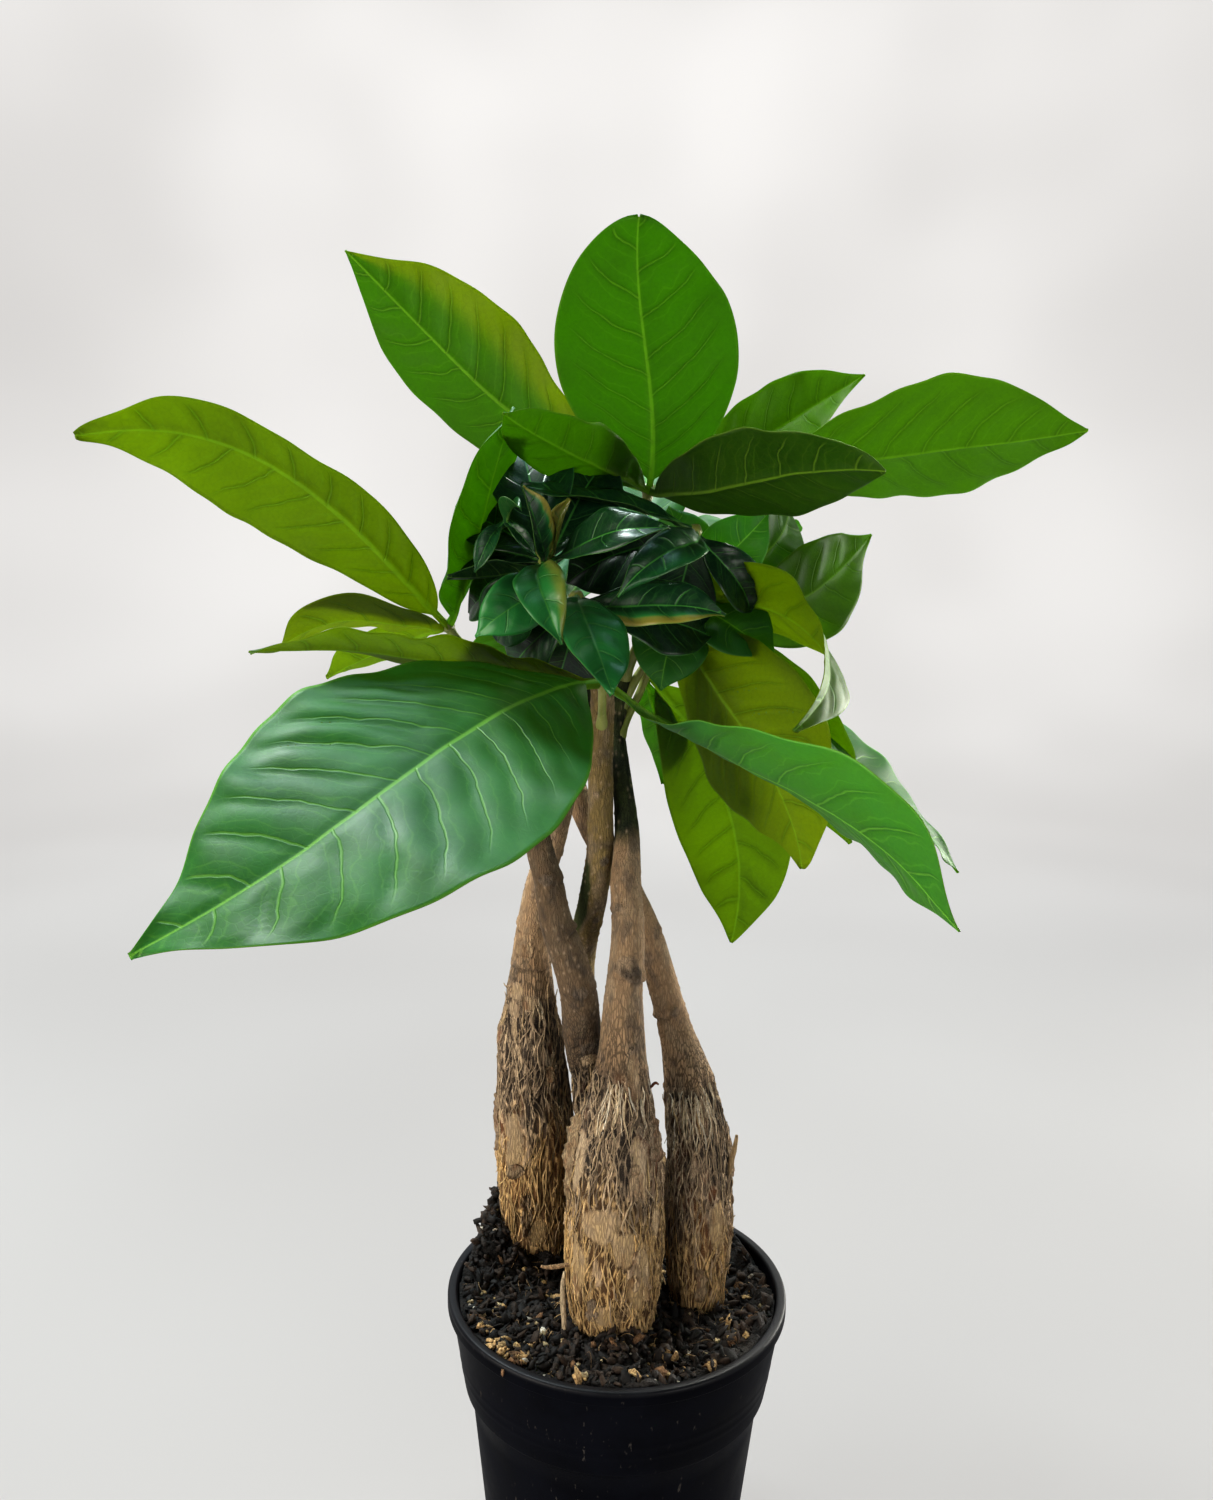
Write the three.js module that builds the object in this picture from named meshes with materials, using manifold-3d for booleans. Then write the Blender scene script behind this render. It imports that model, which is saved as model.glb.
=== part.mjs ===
// A potted money tree: five young Pachira trunks planted close together in a plastic nursery
// pot. They cross each other as they rise, and carry palmate leaves on stalks at their tops.
//
// Millimetres and degrees, +Z up. The origin is the centre of the pot's underside, and -Y is
// the front. Each trunk, and each leaf with its stalk and leaflets, is one closed solid.

import * as THREE from 'three';
import { mergeVertices } from 'three/addons/utils/BufferGeometryUtils.js';
import Module from 'manifold-3d';

const wasm = await Module();
wasm.setup();

// ---------------------------------------------------------------- driving dimensions

const GAP = 0.35; // clear space left between pieces that touch on the real plant

const POT = {
  height: 105,
  rimRadius: 60,
  lipHeight: 4.5,
  lipDepth: 3.4, // how far the rolled lip reaches in from the rim
  collarDrop: 33, // the collar runs from the rim down to here
  collarRadius: 54,
  stepHeight: 3,
  shoulderRadius: 51.5, // the body just under the collar
  footRadius: 44,
  footEdge: 1.5,
  wall: 1.3,
  floor: 3.4,
  padRadius: 14,
  footWidth: 8,
  grooveHeight: 2,
  drains: 8,
  drainRadius: 3.5,
  drainCircle: 26,
  segments: 48,
};

const SOIL = {
  level: 99,
  lump: 1.5, // height of the small lumps
  swell: 2.2, // height of the broad unevenness
  heaps: [
    { x: -43, y: 29, height: 20, spread: 13 },
    { x: 0, y: -32, height: 7, spread: 17 },
  ],
  rings: 10,
  grains: 20,
  grainRadius: [1.1, 2.3],
};

const ROOT_DEPTH = 62; // height at which the buried ends of the trunks stop

// Each trunk: [x, y, z, radius] from the soil line to its top.
const TRUNKS = {
  left: [
    [-31, 31, 96, 11], [-32, 31, 118, 14], [-32, 30, 146, 14.3], [-33, 28, 170, 13.3],
    [-33, 25, 189, 11.5], [-33, 20, 212, 7.6], [-32, 14, 236, 5.2], [-29, 8, 251, 4.7],
    [-25, 4, 265, 4.5], [-22, 2, 279, 4.2], [-18, 3, 296, 4.0], [-16, 6, 313, 3.7],
    [-18, -2, 330, 3.2],
  ],
  crossing: [
    [0, 19, 98, 11], [0, 19, 124, 13], [-5, 19, 150, 10.3], [-10, 14, 168, 7.4],
    [-12, 6, 184, 6.5], [-14, -1, 199, 6.4], [-15, -7, 214, 6.3], [-18, -10, 226, 6.0],
    [-23, -12, 241, 5.4], [-26, -12, 256, 4.8], [-29, -12, 267, 4.4], [-33, -11, 288, 3.9],
    [-37, -8, 307, 3.6], [-42, -6, 324, 3.3],
  ],
  front: [
    [-1, -17, 96, 12.5], [-2, -17, 112, 15.8], [-2, -17, 134, 16.4], [-2, -16, 156, 15.6],
    [-1, -15, 173, 13.0], [0, -15, 185, 10.1], [0, -15, 198, 7.9], [0, -14, 215, 6.5],
    [1, -13, 235, 5.6], [0, -11, 255, 5.1], [0, -7, 271, 4.0], [-2, 0, 287, 3.4],
    [-4, 8, 302, 3.2], [-2, 11, 320, 3.0],
  ],
  rear: [
    [9, 42, 98, 8.5], [8, 46, 124, 11.3], [-6, 42, 150, 8.6], [-12, 30, 184, 5.9],
    [-15, 19, 209, 5.1], [-14, 8, 228, 4.8], [-11, -1, 246, 4.8], [-9, -6, 262, 4.5],
    [-9, -8, 281, 4.3], [-9, -8, 295, 4.1], [-9, -8, 315, 3.9], [-10, -9, 333, 3.6],
  ],
  right: [
    [29, 0, 96, 9.0], [28, 2, 126, 12.0], [28, 5, 151, 11.1], [26, 7, 167, 10.0],
    [24, 9, 179, 8.6], [19, 10, 196, 6.0], [13, 12, 216, 5.3], [8, 13, 231, 5.1],
    [-1, 15, 249, 4.9], [-10, 17, 263, 4.6], [-17, 18, 277, 4.4], [-23, 17, 295, 4.1],
    [-26, 14, 312, 3.8],
  ],
};
const TRUNK_SIDES = 13;

// Each leaf: the trunk that carries it, the height at which its stalk leaves that trunk, and
// the hub where its leaflets meet. Each leaflet: where its tip is, which way its upper side
// faces, its width, how far the midrib bows upwards and sways sideways near its foot and
// near its tip, how many degrees the halves fold up, and how many the blade twists.
const LEAVES = {
  leaf_top: {
    trunk: 'rear', from: 326, hub: [5, 5, 383],
    leaflets: [
      { tip: [-96, 15, 459], face: [0.35, 0.85, 0.35], width: 48, bow: [3, 12],
        sway: [18, 12], fold: 12, widest: 0.58 },
      { tip: [-1, -42, 455], face: [0, 0.85, 0.55], width: 57, bow: [6, 8], sway: [-6, 4],
        fold: 4, widest: 0.47, fullness: 0.6 },
      { tip: [85, 60, 430], face: [-0.6, 0.75, 0.2], width: 32, bow: [3, 6], sway: [-9, -4],
        fold: 10 },
      { tip: [146, 0, 404], face: [-0.1, 0.6, 0.8], width: 58, bow: [6, 4], sway: [-2, -6],
        fold: 8, stalk: 0.25 },
      { tip: [66, -70, 384], face: [0.4, 0.5, 0.75], width: 35, bow: [-8, 4], sway: [0, 4],
        fold: 8, widest: 0.5, fullness: 0.7 },
      { tip: [-37, -65, 398], face: [-0.3, 0.4, 0.85], width: 25, bow: [-3, -1],
        sway: [-3, 3], fold: 8, fullness: 0.75 },
    ],
  },
  leaf_left: {
    trunk: 'crossing', from: 318, hub: [-59, -12, 338],
    leaflets: [
      { tip: [-155, -60, 390], face: [-0.2, 0.85, 0.45], width: 31, bow: [0, 24],
        sway: [-10, -23], fold: 8, widest: 0.5, fullness: 0.55 },
      { tip: [-36, -45, 402], face: [-0.85, 0.35, 0.4], width: 44, bow: [-6, -3],
        sway: [5, 8], fold: 12 },
      { tip: [-111, -20, 331], face: [-0.15, 0.35, 0.9], width: 30, bow: [0, 10],
        sway: [-8, -6], fold: 8, widest: 0.5, fullness: 0.7 },
      { tip: [-104, 14, 318], face: [0.1, 0.5, 0.85], width: 18, bow: [2, 4], sway: [0, 0],
        fold: 14 },
    ],
  },
  leaf_front: {
    trunk: 'rear', from: 303, hub: [-9, -24, 322],
    leaflets: [
      { tip: [-109, -150, 272], face: [0.15, -0.45, 0.87], width: 81, bow: [19, 19],
        sway: [6, -20], fold: 3, widest: 0.51, fullness: 0.92 },
      { tip: [81, -110, 269], face: [0.35, -0.2, 0.9], width: 58, bow: [-5, 22],
        sway: [6, 12], fold: 10, twist: -50, widest: 0.66 },
      { tip: [-104, -75, 333], face: [0.15, 0.35, 0.93], width: 34, bow: [0, 9], sway: [5, 8],
        fold: 8, widest: 0.53, fullness: 0.6 },
    ],
  },
  leaf_right: {
    trunk: 'front', from: 307, hub: [17, 12, 347],
    leaflets: [
      { tip: [90, 60, 372], face: [0.55, -0.8, 0.1], width: 36, bow: [12, 5],
        sway: [20, 13], fold: 8 },
      { tip: [58, 72, 383], face: [0.8, -0.6, 0.05], width: 30, bow: [11, 16], sway: [6, 7],
        fold: 8 },
      { tip: [46, -60, 312], face: [0.8, 0.1, 0.6], width: 38, bow: [20, 45],
        sway: [10, -20], fold: 8, widest: 0.45 },
      { tip: [54, -35, 266], face: [0.65, 0.7, 0.25], width: 56, bow: [-3, -2],
        sway: [-11, 20], fold: 6, widest: 0.54, fullness: 0.7 },
      { tip: [81, 25, 261], face: [0.5, 0.75, 0.45], width: 38, bow: [12, 8], sway: [5, 0],
        fold: 8 },
      { tip: [122, 30, 250], face: [0.55, -0.3, 0.75], width: 36, bow: [0, 7], sway: [0, 0],
        fold: 8 },
    ],
  },
  leaf_low: {
    trunk: 'front', from: 298, hub: [6, 14, 322],
    leaflets: [
      { tip: [40, 30, 222], face: [0.12, 0.97, 0.2], width: 43, bow: [9, 2], sway: [14, 20],
        fold: 8, widest: 0.52, fullness: 0.7 },
      { tip: [14, 35, 280], face: [0.6, 0.6, 0.5], width: 22, bow: [0, 4], sway: [0, 0],
        fold: 12 },
    ],
  },
  leaf_young_left: {
    trunk: 'left', from: 324, hub: [-26, -42, 358],
    leaflets: [
      { tip: [-32, -58, 379], face: [0.85, -0.5, 0], width: 14, bow: [4, 4], sway: [-4, -4],
        fold: 25 },
      { tip: [-20, -72, 336], face: [-0.15, -0.6, 0.8], width: 15, bow: [8, 14],
        sway: [5, 3], fold: 18 },
      { tip: [-54, -50, 354], face: [-0.2, 0.3, 0.9], width: 13, bow: [0, 0], sway: [5, 6],
        fold: 10 },
      { tip: [-45, -58, 337], face: [0.3, -0.85, 0.4], width: 17, bow: [5, 12],
        sway: [-8, -1], fold: 10 },
      { tip: [9, -66, 367], face: [-0.6, -0.8, 0.2], width: 20, bow: [0, 14], sway: [-3, 6],
        fold: 10 },
    ],
  },
  leaf_young_front: {
    trunk: 'rear', from: 329, hub: [-17, -38, 348],
    leaflets: [
      { tip: [-6, -76, 323], face: [0.25, -0.5, 0.85], width: 21, bow: [10, 5], sway: [6, 2],
        fold: 10 },
      { tip: [26, -52, 344], face: [-0.3, -0.9, 0.3], width: 16, bow: [4, 10], sway: [8, 0],
        fold: 12 },
    ],
  },
  leaf_young_right: {
    trunk: 'front', from: 318, hub: [19, -18, 369],
    leaflets: [
      { tip: [-5, -62, 349], face: [0.5, -0.55, 0.65], width: 14, bow: [10, 16],
        sway: [-10, 3], fold: 10 },
      { tip: [-34, -36, 381], face: [0.35, -0.5, 0.8], width: 15, bow: [6, 0], sway: [0, 0],
        fold: 14 },
    ],
  },
  leaf_back_left: {
    trunk: 'right', from: 306, hub: [-24, 42, 340],
    leaflets: [
      { tip: [-66, 140, 385], face: [0.1, -0.3, 0.9], width: 44, bow: [12, 14], fold: 8 },
      { tip: [-10, 152, 352], face: [0, 0, 1], width: 46, bow: [12, 16], fold: 8 },
      { tip: [-58, 118, 300], face: [-0.3, 0.4, 0.8], width: 40, bow: [10, 14], fold: 8 },
    ],
  },
  leaf_back_right: {
    trunk: 'left', from: 318, hub: [10, 50, 358],
    leaflets: [
      { tip: [2, 132, 418], face: [0, -0.6, 0.7], width: 46, bow: [10, 12], fold: 8 },
      { tip: [72, 132, 372], face: [0, -0.1, 1], width: 42, bow: [10, 14], fold: 8 },
      { tip: [46, 126, 300], face: [0.3, 0.4, 0.8], width: 42, bow: [12, 16], fold: 8 },
    ],
  },
};

const BLADE = {
  thickness: 0.8,
  stalkThickness: 2,
  stalkWidth: 2.2,
  stalk: 0.05, // share of a leaflet's length that is its own short stalk
  tipWidth: 0.7,
  widest: 0.56, // where along its length a leaflet is widest
  fullness: 0.85, // below 1 the outline is fuller, above 1 it is leaner
  stepLength: 14, // length of leaflet that one row of faces covers
  smallWidth: 24, // leaflets narrower than this have fewer faces across
};
const STALK = { footRadius: 1.8, radius: 1.4, hubRadius: 2.3, rise: 0.45, sides: 6, steps: 7 };

const GOLDEN_ANGLE = 2.4;

const COLOURS = {
  pot: 0x15161a, soil: 0x1c1713, bark: 0x8b6f52, leaf: 0x2f7a16, youngLeaf: 0x12511f,
};

// ---------------------------------------------------------------- helpers

const vec = (a) => new THREE.Vector3(...a);
const radians = THREE.MathUtils.degToRad;
const smooth = THREE.MathUtils.smoothstep;
const lerp = THREE.MathUtils.lerp;

// A seeded source of numbers from 0 to 1.
function seeded(seed) {
  let state = seed;
  return () => {
    state = (state * 1664525 + 1013904223) % 4294967296;
    return state / 4294967296;
  };
}

// A closed geometry as a manifold-3d solid.
function solidOf(geometry) {
  const bare = geometry.clone();
  bare.deleteAttribute('normal');
  bare.deleteAttribute('uv');
  const merged = mergeVertices(bare, 1e-3);
  return new wasm.Manifold(new wasm.Mesh({
    numProp: 3,
    vertProperties: merged.attributes.position.array,
    triVerts: new Uint32Array(merged.index.array),
  }));
}

function geometryOf(solid) {
  const mesh = solid.getMesh();
  const geometry = new THREE.BufferGeometry();
  geometry.setAttribute('position', new THREE.BufferAttribute(mesh.vertProperties, 3));
  geometry.setIndex(new THREE.BufferAttribute(mesh.triVerts, 1));
  geometry.computeVertexNormals();
  return geometry;
}

// The largest of a solid's separate bodies. A cut can leave loose scraps.
function largestBody(solid) {
  const bodies = solid.decompose();
  return bodies.reduce((best, body) => (body.volume() > best.volume() ? body : best));
}

// A round bar along a curve: centre(t) and radius(t, angle), with t from 0 to 1.
function bar(centre, radius, sides, steps) {
  const geometry = new THREE.CylinderGeometry(1, 1, 1, sides, steps);
  const position = geometry.attributes.position;
  const nudge = 1e-3;
  for (let i = 0; i < position.count; i++) {
    const t = position.getY(i) + 0.5;
    const [x, z] = [position.getX(i), position.getZ(i)];
    const tangent = centre(Math.min(1, t + nudge)).sub(centre(Math.max(0, t - nudge)));
    tangent.normalize();
    const across = new THREE.Vector3(0, 1, 0).cross(tangent).normalize();
    const depth = across.clone().cross(tangent);
    const r = radius(t, Math.atan2(z, x));
    const at = centre(t).addScaledVector(across, x * r).addScaledVector(depth, z * r);
    position.setXYZ(i, at.x, at.y, at.z);
  }
  return geometry;
}

// A closed slab between two grids of points, split into triangles alike on both faces.
function slab(top, bottom) {
  const [rows, columns] = [top.length, top[0].length];
  const position = [...top.flat(), ...bottom.flat()].flatMap((p) => [p.x, p.y, p.z]);
  const upper = (i, j) => i * columns + j;
  const lower = (i, j) => rows * columns + upper(i, j);
  const index = [];
  const quad = (a, b, c, d) => index.push(a, b, c, a, c, d);
  for (let i = 0; i + 1 < rows; i++) {
    for (let j = 0; j + 1 < columns; j++) {
      index.push(upper(i, j), upper(i + 1, j + 1), upper(i + 1, j));
      index.push(upper(i, j), upper(i, j + 1), upper(i + 1, j + 1));
      index.push(lower(i, j), lower(i + 1, j), lower(i + 1, j + 1));
      index.push(lower(i, j), lower(i + 1, j + 1), lower(i, j + 1));
    }
    quad(upper(i, 0), upper(i + 1, 0), lower(i + 1, 0), lower(i, 0));
    const last = columns - 1;
    quad(upper(i, last), lower(i, last), lower(i + 1, last), upper(i + 1, last));
  }
  for (let j = 0; j + 1 < columns; j++) {
    const last = rows - 1;
    quad(upper(0, j), lower(0, j), lower(0, j + 1), upper(0, j + 1));
    quad(upper(last, j), upper(last, j + 1), lower(last, j + 1), lower(last, j));
  }
  const geometry = new THREE.BufferGeometry();
  geometry.setAttribute('position', new THREE.Float32BufferAttribute(position, 3));
  geometry.setIndex(index);
  return geometry;
}

// ---------------------------------------------------------------- pot

// The pot's inner radius at height z, from its floor to its lip.
function innerRadius(z) {
  const shoulder = POT.height - POT.collarDrop - POT.stepHeight;
  const collar = POT.height - POT.collarDrop;
  const inside = [
    [POT.floor, POT.footRadius - POT.wall],
    [shoulder, POT.shoulderRadius - POT.wall],
    [collar, POT.collarRadius - POT.wall],
    [POT.height, POT.rimRadius - POT.lipDepth],
  ];
  const k = Math.max(1, inside.findIndex(([height]) => z <= height));
  const [[z0, r0], [z1, r1]] = [inside[k - 1], inside[k]];
  return lerp(r0, r1, (z - z0) / (z1 - z0));
}

function makePot() {
  const { height, rimRadius, lipHeight, collarDrop, collarRadius, stepHeight } = POT;
  const groove = [POT.padRadius + POT.grooveHeight, POT.footRadius - POT.footWidth];
  const profile = [
    [0, 0],
    [POT.padRadius, 0],
    [groove[0], POT.grooveHeight],
    [groove[1] - POT.grooveHeight, POT.grooveHeight],
    [groove[1], 0],
    [POT.footRadius - POT.footEdge, 0],
    [POT.footRadius, POT.footEdge],
    [POT.shoulderRadius, height - collarDrop - stepHeight],
    [collarRadius - 0.5, height - collarDrop - 0.8],
    [collarRadius, height - collarDrop],
    [rimRadius - 1.6, height - lipHeight - 1],
    [rimRadius, height - lipHeight],
    [rimRadius, height - 1.2],
    [rimRadius - 0.9, height],
    [rimRadius - POT.lipDepth + 0.8, height],
    [rimRadius - POT.lipDepth, height - 1],
    [innerRadius(height - collarDrop), height - collarDrop],
    [innerRadius(height - collarDrop - stepHeight), height - collarDrop - stepHeight],
    [innerRadius(POT.floor), POT.floor],
    [0, POT.floor],
  ].map(([r, z]) => new THREE.Vector2(r, z));
  const turned = new THREE.LatheGeometry(profile, POT.segments).rotateX(Math.PI / 2);
  const shell = solidOf(turned);
  const drains = Array.from({ length: POT.drains }, (_, i) => {
    const angle = (i / POT.drains) * 2 * Math.PI;
    const [radius, length] = [POT.drainRadius, 4 * POT.floor];
    const drain = new THREE.CylinderGeometry(radius, radius, length, 12);
    drain.rotateX(Math.PI / 2);
    drain.translate(POT.drainCircle * Math.cos(angle), POT.drainCircle * Math.sin(angle), 0);
    return solidOf(drain);
  });
  return shell.subtract(wasm.Manifold.union(drains));
}

// ---------------------------------------------------------------- trunks

// A trunk's centre line, with its radius at each point, from the buried end to the top.
function trunkLine(points) {
  const [x, y, , r] = points[0];
  const buried = [[x, y, ROOT_DEPTH, 0.4 * r], [x, y, 0.8 * points[0][2], 0.75 * r]];
  const all = [...buried, ...points];
  return {
    centre: new THREE.CatmullRomCurve3(all.map((p) => vec(p)), false, 'centripetal'),
    width: new THREE.CatmullRomCurve3(all.map((p) => new THREE.Vector3(p[3], 0, 0))),
    steps: 2 * (all.length - 1),
  };
}

// grow widens a trunk, to cut a clear seat for it in its neighbours.
function trunkSolid({ centre, width, steps }, grow = 0) {
  const radius = (t, angle) => {
    const r = width.getPoint(t).x;
    const flutes = 0.05 * Math.sin(3 * angle + 9 * t) + 0.03 * Math.sin(5 * angle - 14 * t);
    return r * (1 + flutes * smooth(r, 5, 11)) + grow;
  };
  return solidOf(bar((t) => centre.getPoint(t), radius, TRUNK_SIDES, steps));
}

// The place on a trunk's centre line at height z.
function placeAt({ centre }, z) {
  let [low, high] = [0, 1];
  for (let i = 0; i < 30; i++) {
    const middle = (low + high) / 2;
    if (centre.getPoint(middle).z < z) low = middle;
    else high = middle;
  }
  return centre.getPoint(low);
}

// ---------------------------------------------------------------- soil

// Height of the soil's surface: broad swells, small lumps and heaps.
function soilHeight(x, y) {
  const swell = Math.sin(x / 13 + 1) * Math.cos(y / 11 - 0.6);
  const lump = Math.sin(x / 2.9 + 2 * Math.sin(y / 5)) * Math.sin(y / 2.6 + 1.5 * Math.sin(x / 4));
  const heaped = SOIL.heaps.map((heap) => {
    const away = Math.hypot(x - heap.x, y - heap.y) / heap.spread;
    return heap.height * Math.exp(-(away ** 2));
  });
  const raised = heaped.reduce((sum, height) => sum + height);
  return SOIL.level + SOIL.swell * swell + SOIL.lump * lump + raised;
}

// The soil fills the pot up to its lumpy surface. seats is the space that the trunks take.
function makeSoil(seats) {
  const { rings } = SOIL;
  const { segments } = POT;
  const sides = [
    POT.floor + GAP,
    POT.height - POT.collarDrop - POT.stepHeight,
    POT.height - POT.collarDrop,
  ];
  const position = [];
  const ring = (share, height) => {
    for (let j = 0; j < segments; j++) {
      const angle = (j / segments) * 2 * Math.PI;
      const wall = innerRadius(POT.height) - GAP;
      const z = height(share * wall * Math.cos(angle), share * wall * Math.sin(angle));
      const radius = share * (innerRadius(Math.min(z, POT.height)) - GAP);
      position.push(radius * Math.cos(angle), radius * Math.sin(angle), z);
    }
  };
  position.push(0, 0, POT.floor + GAP);
  for (const z of sides) ring(1, () => z);
  for (let i = rings; i >= 1; i--) ring(i / rings, soilHeight);
  position.push(0, 0, soilHeight(0, 0));
  const loops = sides.length + rings;
  const last = position.length / 3 - 1;
  const at = (loop, j) => 1 + loop * segments + (j % segments);
  const index = [];
  for (let j = 0; j < segments; j++) {
    index.push(0, at(0, j + 1), at(0, j));
    for (let loop = 0; loop + 1 < loops; loop++) {
      index.push(at(loop, j), at(loop, j + 1), at(loop + 1, j + 1));
      index.push(at(loop, j), at(loop + 1, j + 1), at(loop + 1, j));
    }
    index.push(at(loops - 1, j), at(loops - 1, j + 1), last);
  }
  const geometry = new THREE.BufferGeometry();
  geometry.setAttribute('position', new THREE.Float32BufferAttribute(position, 3));
  geometry.setIndex(index);
  const filled = wasm.Manifold.union([solidOf(geometry), ...soilGrains()]);
  return largestBody(filled.subtract(seats));
}

// Perlite and bark chips, half sunk in the surface.
function soilGrains() {
  const random = seeded(7);
  return Array.from({ length: SOIL.grains }, (_, i) => {
    const angle = i * GOLDEN_ANGLE;
    const away = 18 + 34 * Math.sqrt(random());
    const size = lerp(...SOIL.grainRadius, random());
    const [x, y] = [away * Math.cos(angle), away * Math.sin(angle)];
    const grain = new THREE.IcosahedronGeometry(size, 0);
    grain.scale(1 + 0.6 * random(), 1, 0.8).rotateZ(6 * random());
    return solidOf(grain.translate(x, y, soilHeight(x, y) + 0.2 * size));
  });
}

// ---------------------------------------------------------------- leaves

// A leaflet from its hub to its tip: a thin blade that bows along a Bezier midrib, is narrow
// at its stalk and its tip, and folds up along the midrib.
function leafletSolid(hub, leaflet) {
  const { tip, face, width, bow, fold, sway = [0, 0], twist = 0 } = leaflet;
  const { stalk = BLADE.stalk, widest = BLADE.widest, fullness = BLADE.fullness } = leaflet;
  const [from, to] = [vec(hub), vec(tip)];
  const chord = to.clone().sub(from);
  const along = chord.clone().normalize();
  const up = vec(face).addScaledVector(along, -vec(face).dot(along)).normalize();
  const side = chord.clone().cross(up).normalize();
  const bowed = (i) => from.clone().addScaledVector(chord, (i + 1) / 3)
    .addScaledVector(up, bow[i]).addScaledVector(side, sway[i]);
  const midrib = new THREE.CubicBezierCurve3(from, bowed(0), bowed(1), to);
  const rows = Math.max(5, Math.round(chord.length() / BLADE.stepLength));
  const columns = width < BLADE.smallWidth ? 2 : 4;
  const skew = Math.log(0.5) / Math.log(widest);
  const [top, bottom] = [[], []];
  for (let i = 0; i <= rows; i++) {
    const t = i / rows;
    const centre = midrib.getPoint(t);
    const tangent = midrib.getTangent(t);
    const turn = radians(twist * t);
    const level = side.clone().addScaledVector(tangent, -side.dot(tangent)).normalize();
    const across = level.applyAxisAngle(tangent, turn);
    const normal = across.clone().cross(tangent);
    const share = Math.max(0, (t - stalk) / (1 - stalk));
    const outline = (width / 2) * Math.sin(Math.PI * share ** skew) ** fullness;
    const least = lerp(BLADE.stalkWidth, BLADE.tipWidth, t) / 2;
    const half = Math.max(least, outline || 0);
    const lift = radians(fold) * smooth(t, 0, 0.25);
    const thick = lerp(BLADE.stalkThickness, BLADE.thickness, smooth(t, 0, 0.2));
    const line = Array.from({ length: columns + 1 }, (_, j) => {
      const v = (2 * j) / columns - 1;
      return centre.clone()
        .addScaledVector(across, half * v * Math.cos(lift))
        .addScaledVector(normal, half * Math.abs(v) * Math.sin(lift));
    });
    top.push(line.map((p) => p.clone().addScaledVector(normal, thick / 2)));
    bottom.push(line.map((p) => p.clone().addScaledVector(normal, -thick / 2)));
  }
  return solidOf(slab(top, bottom));
}

// A leaf: its stalk from inside the trunk to the hub, the hub, and its leaflets. seats is
// the space that the trunks take, which is cut out of the leaf.
function leafSolid({ trunk, from, hub, leaflets }, lines, seats) {
  const foot = placeAt(lines[trunk], from);
  const end = vec(hub);
  const rise = foot.distanceTo(end) * STALK.rise;
  const stalk = new THREE.CubicBezierCurve3(
    foot,
    foot.clone().lerp(end, 0.3).add(new THREE.Vector3(0, 0, 0.3 * rise)),
    end.clone().lerp(foot, 0.3).add(new THREE.Vector3(0, 0, -0.3 * rise)),
    end,
  );
  const radius = (t) => lerp(STALK.footRadius, STALK.radius, smooth(t, 0, 0.5));
  const node = new THREE.SphereGeometry(STALK.hubRadius, 8, 6).translate(...hub);
  const grown = wasm.Manifold.union([
    solidOf(bar((t) => stalk.getPoint(t), radius, STALK.sides, STALK.steps)),
    solidOf(node),
    ...leaflets.map((leaflet) => leafletSolid(hub, leaflet)),
  ]);
  return largestBody(grown.subtract(seats));
}

// ---------------------------------------------------------------- the plant

const plant = new THREE.Group();

function add(name, solid, colour, roughness) {
  const material = new THREE.MeshStandardMaterial({ color: colour, roughness, metalness: 0 });
  const mesh = new THREE.Mesh(geometryOf(solid), material);
  mesh.name = name;
  plant.add(mesh);
}

const lines = Object.fromEntries(
  Object.entries(TRUNKS).map(([name, points]) => [name, trunkLine(points)]),
);
const seats = wasm.Manifold.union(Object.values(lines).map((line) => trunkSolid(line, GAP)));

add('pot', makePot(), COLOURS.pot, 0.45);
add('soil', makeSoil(seats), COLOURS.soil, 0.95);
for (const [name, line] of Object.entries(lines)) {
  add(`trunk_${name}`, trunkSolid(line), COLOURS.bark, 0.85);
}
for (const [name, leaf] of Object.entries(LEAVES)) {
  const colour = name.includes('young') ? COLOURS.youngLeaf : COLOURS.leaf;
  add(name, leafSolid(leaf, lines, seats), colour, 0.35);
}

export default plant;
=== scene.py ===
"""The looks of a potted money tree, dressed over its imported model.

Lengths are in millimetres until a mesh, lamp or camera is made, where MM turns them into
Blender's metres. -Y is the front, and the pot stands on Z = 0.
"""

import math

import bpy
import numpy as np
from mathutils import Matrix, Vector


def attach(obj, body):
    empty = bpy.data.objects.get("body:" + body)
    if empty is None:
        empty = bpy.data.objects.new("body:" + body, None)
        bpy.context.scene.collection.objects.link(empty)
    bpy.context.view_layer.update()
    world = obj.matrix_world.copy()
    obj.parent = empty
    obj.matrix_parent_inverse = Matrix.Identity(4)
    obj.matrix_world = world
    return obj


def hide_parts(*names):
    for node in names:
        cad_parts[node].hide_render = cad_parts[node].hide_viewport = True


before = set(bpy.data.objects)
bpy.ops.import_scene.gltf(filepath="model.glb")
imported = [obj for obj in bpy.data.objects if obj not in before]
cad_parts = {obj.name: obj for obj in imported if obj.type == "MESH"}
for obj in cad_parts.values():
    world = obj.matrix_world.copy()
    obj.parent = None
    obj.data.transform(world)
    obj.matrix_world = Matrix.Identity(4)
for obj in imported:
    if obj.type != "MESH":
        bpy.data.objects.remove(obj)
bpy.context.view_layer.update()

MM = 0.001
IMAGE = (1213, 1500)  # pixels of the photograph

# ------------------------------------------------------------------ driving dimensions

CAMERA = dict(place=(-7.3, -398.8, 354.5), pitch=8.21, roll=1.09, focal_pixels=1202, near=20)

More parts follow.
